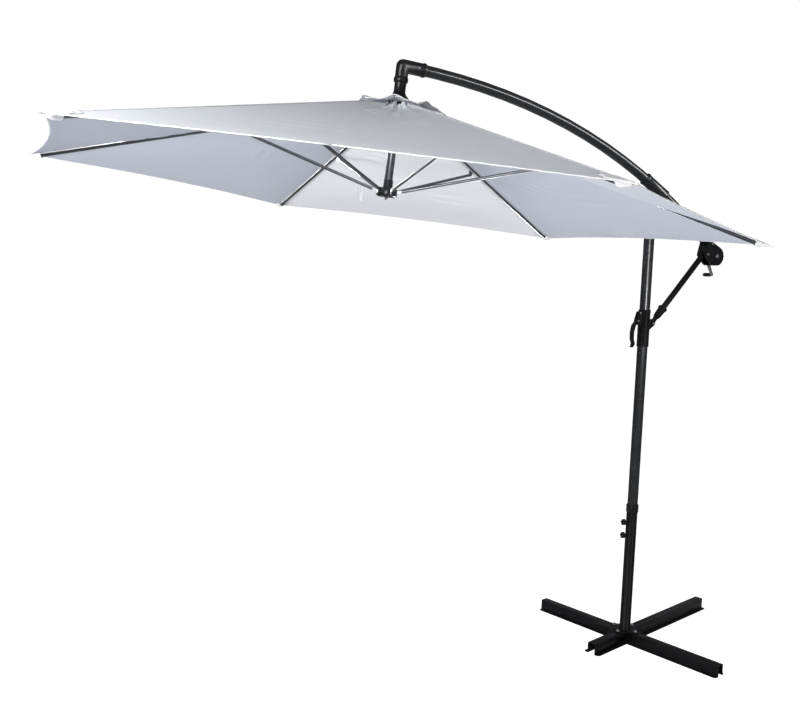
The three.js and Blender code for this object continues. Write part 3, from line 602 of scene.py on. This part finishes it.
# Packing creases: radius, share across the panel, slant (radians), height, wavelength,
# reach along the radius, reach across
PACKING_CREASES = (
    (0.44, 0.60, 0.5, 0.0042, 0.050, 0.09, 0.13),
    (0.62, 0.72, 0.3, 0.0032, 0.060, 0.09, 0.11),
    (0.42, 0.34, -0.6, 0.0032, 0.055, 0.06, 0.09),
    (0.80, 0.52, 1.1, 0.0022, 0.070, 0.10, 0.10),
    (1.00, 0.30, 0.2, 0.0020, 0.090, 0.15, 0.12),
)


def wrinkles(rib, side, radius, across, points):
    """Small height changes of the slack cloth."""
    panel, share = across_panel(rib, side, across)
    phase = FOLD_PHASE[panel]
    edge = np.sin(np.pi * share) ** 0.6             # nothing moves on the ribs
    # Radial tucks by the vent.
    tucks = 0.0055 * np.sin(2 * np.pi * 3 * share + phase)
    tucks += 0.0030 * np.sin(2 * np.pi * 7 * share + 2 * phase)
    height = np.exp(-(radius - VENT) / 0.17) * edge * tucks
    # Waves by the rim.
    waves = 0.0030 * np.sin(2 * np.pi * 2.5 * share + phase * 1.7)
    height += np.exp(-(RIM - radius) / 0.30) * edge * waves
    # Fans that run from the corners.
    inwards = RIM - radius * (1 - 0.25 * across)
    sideways = radius * WIDTH * across
    away = np.hypot(inwards, sideways)
    fan = np.sin(7 * np.arctan2(sideways, inwards + 1e-6) + phase)
    fade = np.exp(-away / 0.28) * np.minimum(1, away / 0.05) * np.minimum(1, across * 8)
    height += 0.0018 * fade * fan
    for at_radius, at_share, slant, size, wavelength, reach, reach_across in PACKING_CREASES:
        shift = 0.05 * math.sin(panel * 2.3 + at_radius * 9)
        out = radius - at_radius - shift
        over = (share - at_share - shift) * 2 * radius * 0.577
        travel = out * math.cos(slant) + over * math.sin(slant)
        spot = np.exp(-(out / reach) ** 2 - ((share - at_share) / reach_across) ** 2)
        height += size * spot * np.sin(2 * np.pi * travel / wavelength + panel) * edge
    # Slow unevenness of the tension.
    slow = [noise.noise(Vector((p[0] * 2.1 + 3.1, p[1] * 2.1, 0.7)))
            for p in points.reshape(-1, 3)]
    return height + 0.0045 * np.array(slow).reshape(radius.shape) * edge


# ------------------------------------------------------------------ settling the cloth
# Coarse sheet: one closed ring of the twelve half gores, rows from the vent to the rim.
ROWS, HALF_COLS = 50, 12
COLS = 12 * HALF_COLS
RIB_COLS = [2 * HALF_COLS * rib for rib in range(6)]
COARSE_RADII = np.linspace(VENT, RIM, ROWS)
MAX_SHIFT = 0.016          # the settled cloth stays this near its smooth shape
CLOTH_SETTINGS = dict(
    quality=5, mass=0.18,
    tension_stiffness=60, compression_stiffness=25, shear_stiffness=12, bending_stiffness=0.8,
    tension_damping=12, compression_damping=12, shear_damping=8, air_damping=3,
    vertex_group_mass="pin", pin_stiffness=1.0)


def coarse_ring():
    """The smooth ring, and the ring with its wrinkles, in canopy coordinates."""
    radius, across = grid(COARSE_RADII, np.linspace(0, 1, HALF_COLS + 1))
    sheets, folds = [], []
    for panel in range(6):
        for rib, side in ((panel, 1), ((panel + 1) % 6, -1)):
            points = half_sheet(rib, side, radius, across)
            fold = wrinkles(rib, side, radius, across, points)
            sheets.append(points[:, ::side][:, :-1])
            folds.append(fold[:, ::side][:, :-1])
    smooth = np.concatenate(sheets, 1)
    wrinkled = smooth.copy()
    wrinkled[..., 2] += np.concatenate(folds, 1)
    return smooth, wrinkled


def settle(start, smooth):
    """Shift of the cloth once it hangs, held on the ribs and partly at the vent and hem."""
    verts = world(start.reshape(-1, 3))
    faces = [(a * COLS + b, a * COLS + (b + 1) % COLS,
              (a + 1) * COLS + (b + 1) % COLS, (a + 1) * COLS + b)
             for a in range(ROWS - 1) for b in range(COLS)]
    ob = make_mesh("cloth_sheet", verts, faces, [])
    free_cols = [col for col in range(COLS) if col not in RIB_COLS]
    pin = ob.vertex_groups.new(name="pin")
    pin.add([row * COLS + col for row in range(ROWS) for col in RIB_COLS], 1.0, "REPLACE")
    pin.add(free_cols, 0.6, "REPLACE")
    pin.add([(ROWS - 1) * COLS + col for col in free_cols], 0.15, "REPLACE")
    cloth = ob.modifiers.new("Cloth", "CLOTH")
    for key, value in CLOTH_SETTINGS.items():
        setattr(cloth.settings, key, value)
    cloth.collision_settings.use_collision = False
    cloth.collision_settings.use_self_collision = False
    cloth.point_cache.frame_start, cloth.point_cache.frame_end = 1, 26
    scene = bpy.context.scene
    for step in range(1, 25):
        scene.frame_set(step)
    settled = ob.evaluated_get(bpy.context.evaluated_depsgraph_get())
    coords = np.zeros(len(verts) * 3)
    settled.data.vertices.foreach_get("co", coords)
    scene.frame_set(1)
    bpy.data.objects.remove(ob)
    shift = (coords.reshape(-1, 3) - ORIGIN) @ TURN - smooth.reshape(-1, 3)
    size = np.linalg.norm(shift, axis=1, keepdims=True)
    shift *= np.minimum(1, MAX_SHIFT / np.maximum(size, 1e-9))
    return shift.reshape(ROWS, COLS, 3)


smooth_ring, wrinkled_ring = coarse_ring()
ring_shift = settle(wrinkled_ring, smooth_ring)
# The cloth is taut by the rim and lies on the ribs.
taut = np.clip((COARSE_RADII - 1.05) / 0.45, 0, 1)
ring_shift = ring_shift * (1 - 0.9 * (taut * taut * (3 - 2 * taut)))[:, None, None]
ring_shift[:, RIB_COLS] = 0


# ------------------------------------------------------------------ fine half gores
FINE_RADII = np.concatenate([
    np.linspace(VENT, RIM - HEM - 0.006, 96),
    [RIM - HEM - 0.002, RIM - HEM, RIM - HEM + 0.002, RIM - 0.018, RIM - 0.010, RIM - 0.004, RIM],
])
FINE_ACROSS = np.concatenate([[0, 0.006, 0.014], np.linspace(0.03, 1, 28)])
RADIUS, ACROSS = grid(FINE_RADII, FINE_ACROSS)


def catmull_rom(values, at):
    """Values along axis 0, read at positions counted in samples."""
    n = len(values)
    i = np.clip(np.floor(at).astype(int), 0, n - 2)
    t = (at - i)[(...,) + (None,) * (values.ndim - 1)]
    p0, p1 = values[np.maximum(i - 1, 0)], values[i]
    p2, p3 = values[i + 1], values[np.minimum(i + 2, n - 1)]
    return 0.5 * (2 * p1 + (p2 - p0) * t + (2 * p0 - 5 * p1 + 4 * p2 - p3) * t * t
                  + (3 * p1 - p0 - 3 * p2 + p3) * t ** 3)


def half_shift(rib, side):
    """Shift of the settled cloth on the fine grid of one half gore."""
    margin = 2                                       # spare columns beyond each edge
    cols = [(RIB_COLS[rib] + side * k) % COLS for k in range(-margin, HALF_COLS + margin + 1)]
    band = np.swapaxes(ring_shift[:, cols], 0, 1)
    band = np.swapaxes(catmull_rom(band, FINE_ACROSS * HALF_COLS + margin), 0, 1)
    return catmull_rom(band, (FINE_RADII - VENT) / (RIM - VENT) * (ROWS - 1))


def fine_half(rib, side):
    """Mid-surface of one half gore with all its folds."""
    points = half_sheet(rib, side, RADIUS, ACROSS) + half_shift(rib, side)
    fold = wrinkles(rib, side, RADIUS, ACROSS, points)
    fold = fold * (1 - 0.92 * np.clip((RADIUS - 1.0) / 0.42, 0, 1))
    points[..., 2] += np.clip(0.75 * fold, -0.010, 0.0065)
    # Puckers of the sewn seam on the rib, then of the hem.
    y = RADIUS * WIDTH * ACROSS
    seam = np.exp(-y / 0.018) * np.minimum(1, y / 0.004)
    points[..., 2] += 0.0011 * seam * np.sin(2 * np.pi * RADIUS / 0.034 + rib * 1.3 + side)
    hem = np.exp(-(RIM - RADIUS) / 0.030)
    hem = hem * np.minimum(1, ACROSS * 10) * np.minimum(1, (1 - ACROSS) * 10)
    points[..., 2] += 0.0005 * hem * np.sin(2 * np.pi * y / 0.041 + rib + 2 * side)
    return points


def grid_normals(points):
    """Upward unit normals of a grid."""
    normals = unit(np.cross(np.gradient(points, axis=0), np.gradient(points, axis=1)))
    normals[normals[..., 2] < 0] *= -1
    return normals


halves = {(rib, side): fine_half(rib, side) for rib in range(6) for side in (1, -1)}
normals = {key: grid_normals(points) for key, points in halves.items()}
for rib in range(6):
    # Two half gores share one line and one normal along each mid-line.
    this, other = (rib, 1), ((rib + 1) % 6, -1)
    shared_normal = unit(normals[this][:, -1] + normals[other][:, -1])
    shared_line = (halves[this][:, -1] + halves[other][:, -1]) / 2
    for key in (this, other):
        normals[key][:, -1] = shared_normal
        halves[key][:, -1] = shared_line


# ------------------------------------------------------------------ gores
# Undersides with painted light: the panel on the rear mast side gets the lighter
# painted-backlight lining, the panel on the far side the darker painted-shade lining.
BACKLIT_HALVES = ((0, 1), (1, -1))       # panel on the rear mast side
SHADED_HALVES = ((2, 1), (3, -1))        # panel on the far side
HEM_CORD_SIDES, VENT_CORD_SIDES = 8, 6


def cloth_z(x, y):
    """Lower face of the cloth near a rib, in rib coordinates."""
    radius = x + TAN30 * np.abs(y)
    across = np.clip(np.abs(y) / (WIDTH * np.maximum(radius, 0.01)), 0, 1)
    return underside_z(radius, across) + MID_LIFT - HALF_CLOTH


def add_half(parts, rib, side):
    """Cloth of one half gore with piping on the hem and binding on the vent edge."""
    points, normal = halves[rib, side], normals[rib, side]
    hem = RADIUS > RIM - HEM - 0.001
    top = points + normal * (HALF_CLOTH + 0.0004 * hem)[..., None]
    bottom = points - normal * (HALF_CLOTH + 0.0010 * hem)[..., None]
    # The lining colour is painted shade, with painted backlight or deeper painted shade on two
    # panels.
    lining = UNDER
    if (rib, side) in BACKLIT_HALVES:
        lining = BACKLIT
    if (rib, side) in SHADED_HALVES:
        lining = SHADED
    row = FINE_RADII[:-1]
    at_rim, at_vent = row > RIM - 0.0045, row < VENT + 0.014
    parts.sheet(top, bottom, pair(side * RADIUS * WIDTH * ACROSS, RIM - RADIUS),
                np.where(at_rim | at_vent, WHITE_EDGE, TOP),
                np.where(at_rim, WHITE_EDGE, lining), WHITE_EDGE, flip=side < 0)
    parts.cord(points[-1] + normal[-1] * 0.0002, 0.0019, HEM_CORD_SIDES)
    parts.cord(points[0], 0.0018, VENT_CORD_SIDES)


def add_pocket_half(parts, rib, side):
    """Half of the sleeve under the cloth that holds the rib's end."""
    start, end, wall = 1.446, 1.4985, 0.0014
    along, across = grid(np.linspace(0, 1, 15), np.linspace(0, 1, 13))
    x = start + along * (end - start)
    taper = np.maximum(0.0012, (RIM + 0.0005 - x) * 1.36)
    y = across * np.minimum(0.022 + 0.006 * (x - start) / 0.05, taper)
    inner = cloth_z(x, y) - 0.0006
    fall = np.clip((RIM - x) / 0.034, 0.12, 1) ** 0.8
    mouth = 1 + 0.12 * np.exp(-((x - start) / 0.012) ** 2)
    depth = 0.0024 + 0.0172 * (1 - across ** 2) ** 1.6 * fall * mouth
    fold = 0.0012 * np.sin(9 * across + 3 * along + rib) * across * (1 - across) * 4
    outer = inner - depth - fold * 0.6
    # Only the wall is solid, so the sleeve stays hollow below the cloth.
    wall_top = np.minimum(inner - 0.0002, outer + wall)
    parts.sheet(from_rib(rib, x, side * y, wall_top), from_rib(rib, x, side * y, outer),
                pair(side * y, RIM - x + 0.05), WHITE_EDGE, WHITE_EDGE, WHITE_EDGE,
                flip=side < 0)


def add_tab(parts, rib):
    """Flat tab beyond the corner."""
    stations = np.array([1.486, 1.500, 1.511, 1.519])
    half_widths = np.array([0.011, 0.0085, 0.0055, 0.0022])
    x, share = grid(stations, np.linspace(-1, 1, 5))
    y = share * half_widths[:, None]
    z = cloth_z(np.minimum(x, RIM), 0 * x) - SLOPE * np.maximum(x - RIM, 0) + 0.0002
    half = 0.0022 - 0.0010 * np.abs(share)
    parts.sheet(from_rib(rib, x, y, z + half), from_rib(rib, x, y, z - half), pair(y, x),
                WHITE_EDGE, WHITE_EDGE, WHITE_EDGE)


def add_seam_tapes(parts, rib):
    """Tape along the rib on the outside, and the seam allowance inside."""
    x, share = grid(np.linspace(0.150, 1.470, 60), np.linspace(-1, 1, 7))
    # lift from the cloth, half width, rounding of the edges, slot
    for lift, half_width, rounding, slot in ((0.0012, 0.0075, 0.0004, TOP),
                                             (-0.0012, 0.0085, 0, WHITE_EDGE)):
        y = share * half_width
        middle = cloth_z(x, y) + HALF_CLOTH + lift
        top = from_rib(rib, x, y, middle + 0.0007 - rounding * share ** 2)
        parts.sheet(top, from_rib(rib, x, y, middle - 0.0007), pair(y, RIM - x),
                    slot, slot, slot)


def add_corner_patch(parts, rib):
    """White crumpled patch sewn over the corner on the outside."""
    start, end = 1.424, 1.4992
    along, across = grid(np.linspace(0, 1, 25), np.linspace(-1, 1, 29))
    x = start + along * (end - start)
    taper = np.maximum(0.0015, (RIM + 0.0006 - x) * 1.60)
    y = across * np.minimum(0.046 + 0.006 * np.sin(9 * along + rib), taper)
    # The inner edge is wavy and drawn back at its ends.
    x = x + (0.004 * np.sin(5 * across + 1.7 * rib) - 0.010 * across ** 2) * (1 - along)
    crumple = 0.0016 * np.sin(11 * across + 5 * along + 2 * rib) * np.sin(4 * along + rib)
    crumple = crumple * (1 - np.abs(across) ** 4)
    z = cloth_z(x, y) + HALF_CLOTH + 0.0019
    z = z + 0.6 * np.abs(crumple) - 0.0006 * np.abs(across) ** 6
    parts.sheet(from_rib(rib, x, y, z + 0.0008), from_rib(rib, x, y, z - 0.0014),
                pair(y, RIM - x + 0.05), WHITE_EDGE, WHITE_EDGE, WHITE_EDGE)


def share_normals(ob, rib):
    """Take the big sheets' shading normals from the grid, so no line shows between gores."""
    mesh = ob.data
    shading = np.zeros(len(mesh.vertices) * 3, np.float32)
    mesh.vertices.foreach_get("normal", shading)
    shading = shading.reshape(-1, 3)
    start = 0
    for side in (1, -1):
        normal = normals[rib, side].reshape(-1, 3) @ TURN.T
        count = len(normal)
        shading[start:start + count] = normal
        shading[start + count:start + 2 * count] = -normal
        # Skip the two cords that follow each sheet.
        start += 2 * count + len(FINE_ACROSS) * (HEM_CORD_SIDES + VENT_CORD_SIDES)
    mesh.normals_split_custom_set_from_vertices([tuple(map(float, n)) for n in shading])


def move_with_rib(ob, rib):
    """Ride on the rib."""
    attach(ob, "rib_group_" + RIBS[rib])
    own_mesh(ob)


def gore(rib):
    parts = Parts()
    for side in (1, -1):
        add_half(parts, rib, side)
    for side in (1, -1):
        add_pocket_half(parts, rib, side)
    add_tab(parts, rib)
    add_seam_tapes(parts, rib)
    add_corner_patch(parts, rib)
    ob = parts.build("canopy_gore_" + RIBS[rib], CLOTH_MATERIALS, world)
    share_normals(ob, rib)
    move_with_rib(ob, rib)
    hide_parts("gore_" + RIBS[rib])
    return ob


cloth_objects = [gore(rib) for rib in range(6)]

# ------------------------------------------------------------------ vent cap
CAP_RIM = 0.195
CAP_RADII = np.linspace(0.0470, CAP_RIM, 22)
CAP_PHASE = [0.3, 1.9, 2.8, 4.0, 5.5, 0.9]         # one for each panel


def add_cap_half(parts, rib, side):
    """Half of a cap sector, standing open between the ribs."""
    radius, across = grid(CAP_RADII, np.linspace(0, 1, 15))
    panel, share = across_panel(rib, side, across)
    phase = CAP_PHASE[panel]
    cut = np.sin(np.pi * across / 2) * (radius / CAP_RIM) ** 3
    x = radius * (1 - 0.25 * across) - 0.006 * cut
    y = radius * (COS30 / 2) * across - 0.0035 * cut
    rest_z = np.minimum(0.3862, 0.3915 - 0.205 * (radius - 0.025))
    lift = np.clip((radius - 0.06) / 0.135, 0, 1) ** 1.7
    arch = np.sin(np.pi * share)
    wave = 0.0135 * arch ** 0.8
    wave += 0.0085 * np.sin(2 * np.pi * share + phase) * arch
    wave += 0.0052 * np.sin(4 * np.pi * share + 2 * phase) * arch
    points = from_rib(rib, x, side * y, rest_z + lift * wave)
    offset = grid_normals(points) * (0.0007 + 0.0004 * (radius > 0.183))[..., None]
    row = CAP_RADII[:-1]
    # The cap's underside takes the painted-shade lining of the UNDER slot.
    parts.sheet(points + offset, points - offset, pair(side * y, CAP_RIM - radius),
                np.where(row > 0.166, WHITE_EDGE, TOP),
                np.where(row > 0.150, WHITE_EDGE, UNDER), WHITE_EDGE, flip=side < 0)
    parts.cord(points[-1], 0.0022, 6)


def cap_sector(rib):
    parts = Parts()
    for side in (1, -1):
        add_cap_half(parts, rib, side)
    ob = parts.build("vent_cap_" + RIBS[rib], CLOTH_MATERIALS, world)
    move_with_rib(ob, rib)
    if rib == 0:
        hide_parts("vent_cap")
    return ob


def cap_collar():
    """Gathered collar clamped by the hub, so the sectors can drop when the canopy shuts."""
    inner, outer, rings, steps = 0.0255, 0.0515, 7, 144
    radius, angle = grid(np.linspace(inner, outer, rings), np.linspace(0, 2 * np.pi, steps + 1))
    share = (radius - inner) / 0.026
    z = 0.3866 + 0.0005 * np.sin(24 * angle) * share + 0.0006 * share
    points = np.stack([radius * np.cos(angle), radius * np.sin(angle), z], -1)
    points = points[:, :steps].reshape(-1, 3)
    half = [0, 0, 0.0006]
    verts = np.concatenate([points + half, points - half])
    below = rings * steps

    def index(ring, step, offset=0):
        return offset + ring * steps + step % steps

    faces = []
    for a in range(rings - 1):
        for b in range(steps):
            faces.append((index(a, b), index(a + 1, b), index(a + 1, b + 1), index(a, b + 1)))
            faces.append((index(a, b + 1, below), index(a + 1, b + 1, below),
                          index(a + 1, b, below), index(a, b, below)))
    last = rings - 1
    for b in range(steps):
        faces.append((index(0, b + 1), index(0, b + 1, below), index(0, b, below), index(0, b)))
        faces.append((index(last, b), index(last, b, below),
                      index(last, b + 1, below), index(last, b + 1)))
    ob = make_solid("vent_cap_collar", world(verts), faces, [OUTER], None, verts[:, :2])
    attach(ob, "arm")
    return ob


cloth_objects += [cap_sector(rib) for rib in range(6)]
cloth_objects.append(cap_collar())


# ------------------------------------------------------------------ tie strap on the rear strut
def strap(name, path, width_direction):
    """Flat white band along a path in world coordinates."""
    width, thickness = 0.013, 0.0012
    path = np.asarray(path, float)
    sideways = unit(np.asarray(width_direction, float))
    normal = unit(np.cross(unit(np.gradient(path, axis=0)), sideways))
    across = np.linspace(-0.5, 0.5, 5)
    middle = path[:, None] + across[None, :, None] * width * sideways
    offset = normal[:, None] * thickness / 2
    uv = pair(*np.broadcast_arrays(across[None, :] * width, run_length(path)[:, None]))
    parts = Parts()
    parts.sheet(middle + offset, middle - offset, uv, 0, 0, 0)
    ob = parts.build(name, [BINDING])
    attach(ob, "strut_group_rear")
    return ob


def tie_strap():
    """A loop round the rear strut and its two hanging ends."""
    rear = RIBS.index("rear")
    inner_end = world(from_rib(rear, 0.038, 0, 0.0321))
    outer_end = world(from_rib(rear, 0.61358, 0, 0.20155))
    along = unit(outer_end - inner_end)
    middle = inner_end + (outer_end - inner_end) * 0.46
    side = unit(np.cross(along, [0, 0, 1.0]))
    up = np.cross(side, along)
    down = np.array([0, 0, -1.0])
    loop = [middle + 0.0082 * (math.cos(q) * side + math.sin(q) * up)
            for q in np.linspace(-0.5 * math.pi, 1.42 * math.pi, 25)]
    knot = middle - 0.0090 * up
    long_end = [knot + side * (0.004 + 0.006 * math.sin(2.2 * q)) + along * 0.010 * q
                + down * 0.098 * q for q in np.linspace(0.03, 1, 16)]
    short_end = [knot - side * (0.003 + 0.014 * q) + along * 0.004 * math.sin(3 * q)
                 + down * 0.064 * q for q in np.linspace(0.03, 1, 14)]
    hanging_width = (0.906, -0.423, 0)
    return [strap("tie_strap_loop", loop, along),
            strap("tie_strap_long_end", long_end, hanging_width),
            strap("tie_strap_short_end", short_end, hanging_width)]


cloth_objects += tie_strap()


# ------------------------------------------------------------------ floor and world
def make_floor():
    """Pale floor that looks near white to the camera but lights the scene as plain diffuse."""
    t = new_material("pale_floor")
    diffuse = t.out("BsdfDiffuse", {"Color": (0.86, 0.86, 0.86)})
    glow = t.out("Emission", {"Color": WHITE, "Strength": 0.92})
    seen = t.out("AddShader", {0: diffuse, 1: glow})
    to_camera = t.out("LightPath", output="Is Camera Ray")
    material = t.surface(t.out("MixShader", {0: to_camera, 1: diffuse, 2: seen}))
    half, z = 60, -0.0005
    mesh = bpy.data.meshes.new("floor")
    corners = [(-half, -half, z), (half, -half, z), (half, half, z), (-half, half, z)]
    mesh.from_pydata(corners, [], [(0, 1, 2, 3)])
    mesh.materials.append(material)
    ob = bpy.data.objects.new("floor", mesh)
    bpy.context.scene.collection.objects.link(ob)
    return ob


def make_world():
    """Dim bluish light on the scene, white to the camera."""
    studio = bpy.data.worlds.new("studio")
    bpy.context.scene.world = studio
    t = Tree(studio)
    light = t.out("Background", {"Color": (0.93, 0.95, 1.0), "Strength": 0.185})
    seen = t.out("Background", {"Color": WHITE, "Strength": 1.05})
    to_camera = t.out("LightPath", output="Is Camera Ray")
    mixed = t.out("MixShader", {0: to_camera, 1: light, 2: seen})
    t.node("OutputWorld", {"Surface": mixed})


floor = make_floor()
make_world()


# ------------------------------------------------------------------ lights
def collection(name, objects):
    group = bpy.data.collections.new(name)
    for ob in objects:
        group.objects.link(ob)
    return group


def light(data, location, receivers, blockers):
    """Light hidden from the camera; receivers and blockers limit what it lights and what
    casts its shadows."""
    ob = bpy.data.objects.new(data.name, data)
    bpy.context.scene.collection.objects.link(ob)
    ob.location = location
    if receivers is not None:
        ob.light_linking.receiver_collection = receivers
    if blockers is not None:
        ob.light_linking.blocker_collection = blockers
    ob.visible_camera = False
    return ob


def area(name, location, target, size, power, receivers=None, blockers=None):
    data = bpy.data.lights.new(name, "AREA")
    data.shape = "RECTANGLE"
    data.size, data.size_y = size
    data.energy = power
    ob = light(data, location, receivers, blockers)
    ob.rotation_mode = "QUATERNION"
    ob.rotation_quaternion = (Vector(target) - Vector(location)).to_track_quat("-Z", "Y")


def bulb(name, location, power, receivers, blockers):
    data = bpy.data.lights.new(name, "POINT")
    data.energy = power
    data.shadow_soft_size = 0.06
    light(data, location, receivers, blockers)


nodes = frame["nodes"]
TUBE_PARTS = ("rib_", "strut_", "centre_tube", "runner", "lower_hub")
tubes = collection("tube_receivers",
                   [ob for name, ob in nodes.items() if name.startswith(TUBE_PARTS)])
cloth = collection("cloth_receivers", cloth_objects)
mast = collection("mast_receivers", [nodes["upper_mast_tube"]])
arm = collection("arm_receivers", [nodes[n] for n in ("arm_tube", "arm_sleeve", "arm_elbow")])
floor_only = collection("floor_only_blocks", [floor])

# name, location, target, size, power (W), receivers, blockers
AREA_LIGHTS = (
    ("key_left", (-3.80, -1.60, 2.72), (-2.3, -0.7, 2.1), (0.9, 0.6), 61),
    ("fill_front", (0.5, -6.0, 2.2), (0.0, 0, 1.4), (2.2, 2.2), 34),
    ("bounce_left", (-5.2, -1.2, 1.2), (-2.0, 0.7, 2.1), (1.0, 1.0), 135, cloth),
    ("bounce_right", (1.2, -2.2, 0.6), (-0.1, 0.2, 2.1), (1.0, 1.0), 32, cloth),
    ("bounce_centre", (-0.8, 0.4, 0.1), (-0.8, 0.4, 2.0), (3.0, 3.0), 16, cloth),
    ("back_glow", (1.3, 4.8, 1.95), (-0.7, 0.9, 2.25), (1.6, 1.2), 430, cloth),
    ("back_top", (1.0, 3.5, 3.4), (-0.7, 0.9, 2.2), (1.6, 1.2), 120, cloth),
    ("right_top", (3.6, 2.2, 3.7), (1.3, 0, 2.1), (1.6, 1.2), 120, cloth),
    ("strip_arm", (1.7, -3.2, 3.0), (-0.5, 0, 2.3), (3.4, 0.45), 200, arm, floor_only),
    ("strip_mast", (-1.40, -3.8, 2.62), (0.0, 0, 1.9), (0.8, 1.5), 240, mast, floor_only),
)
# name, location, power (W); these light only the ribs, struts and centre tube
BULBS = (
    ("tube_front", (-3.3, -3.5, 2.7), 500),
    ("tube_over", (-3.2, 2.2, 4.9), 700),
    ("tube_back", (-3.3, 5.0, 3.4), 700),
    ("tube_floor", (0.8, 1.9, 0.1), 420),
)
for row in AREA_LIGHTS:
    area(*row)
for row in BULBS:
    bulb(*row, receivers=tubes, blockers=floor_only)


# ------------------------------------------------------------------ camera
def make_camera(position, yaw, pitch, roll, lens):
    """Yaw is counted from +X towards +Y, pitch upwards; angles in radians, lens in mm."""
    data = bpy.data.cameras.new("camera")
    ob = bpy.data.objects.new("camera", data)
    bpy.context.scene.collection.objects.link(ob)
    forward = Vector((math.cos(pitch) * math.cos(yaw), math.cos(pitch) * math.sin(yaw),
                      math.sin(pitch)))
    level_right = Vector((math.sin(yaw), -math.cos(yaw), 0))
    level_up = level_right.cross(forward)
    right = math.cos(roll) * level_right + math.sin(roll) * level_up
    up = -math.sin(roll) * level_right + math.cos(roll) * level_up
    matrix = Matrix((right, up, -forward)).transposed().to_4x4()
    matrix.translation = Vector(position)
    ob.matrix_world = matrix
    data.sensor_fit = "HORIZONTAL"
    data.sensor_width = 36
    data.lens = lens
    data.clip_start = 0.05
    data.clip_end = 300
    bpy.context.scene.camera = ob


make_camera(position=(-2.708153, -3.117581, 1.656624),
            yaw=1.134382, pitch=-0.079568, roll=0.039674, lens=38.087271)
bpy.context.scene.view_settings.view_transform = "Standard"
bpy.context.scene.view_settings.look = "None"
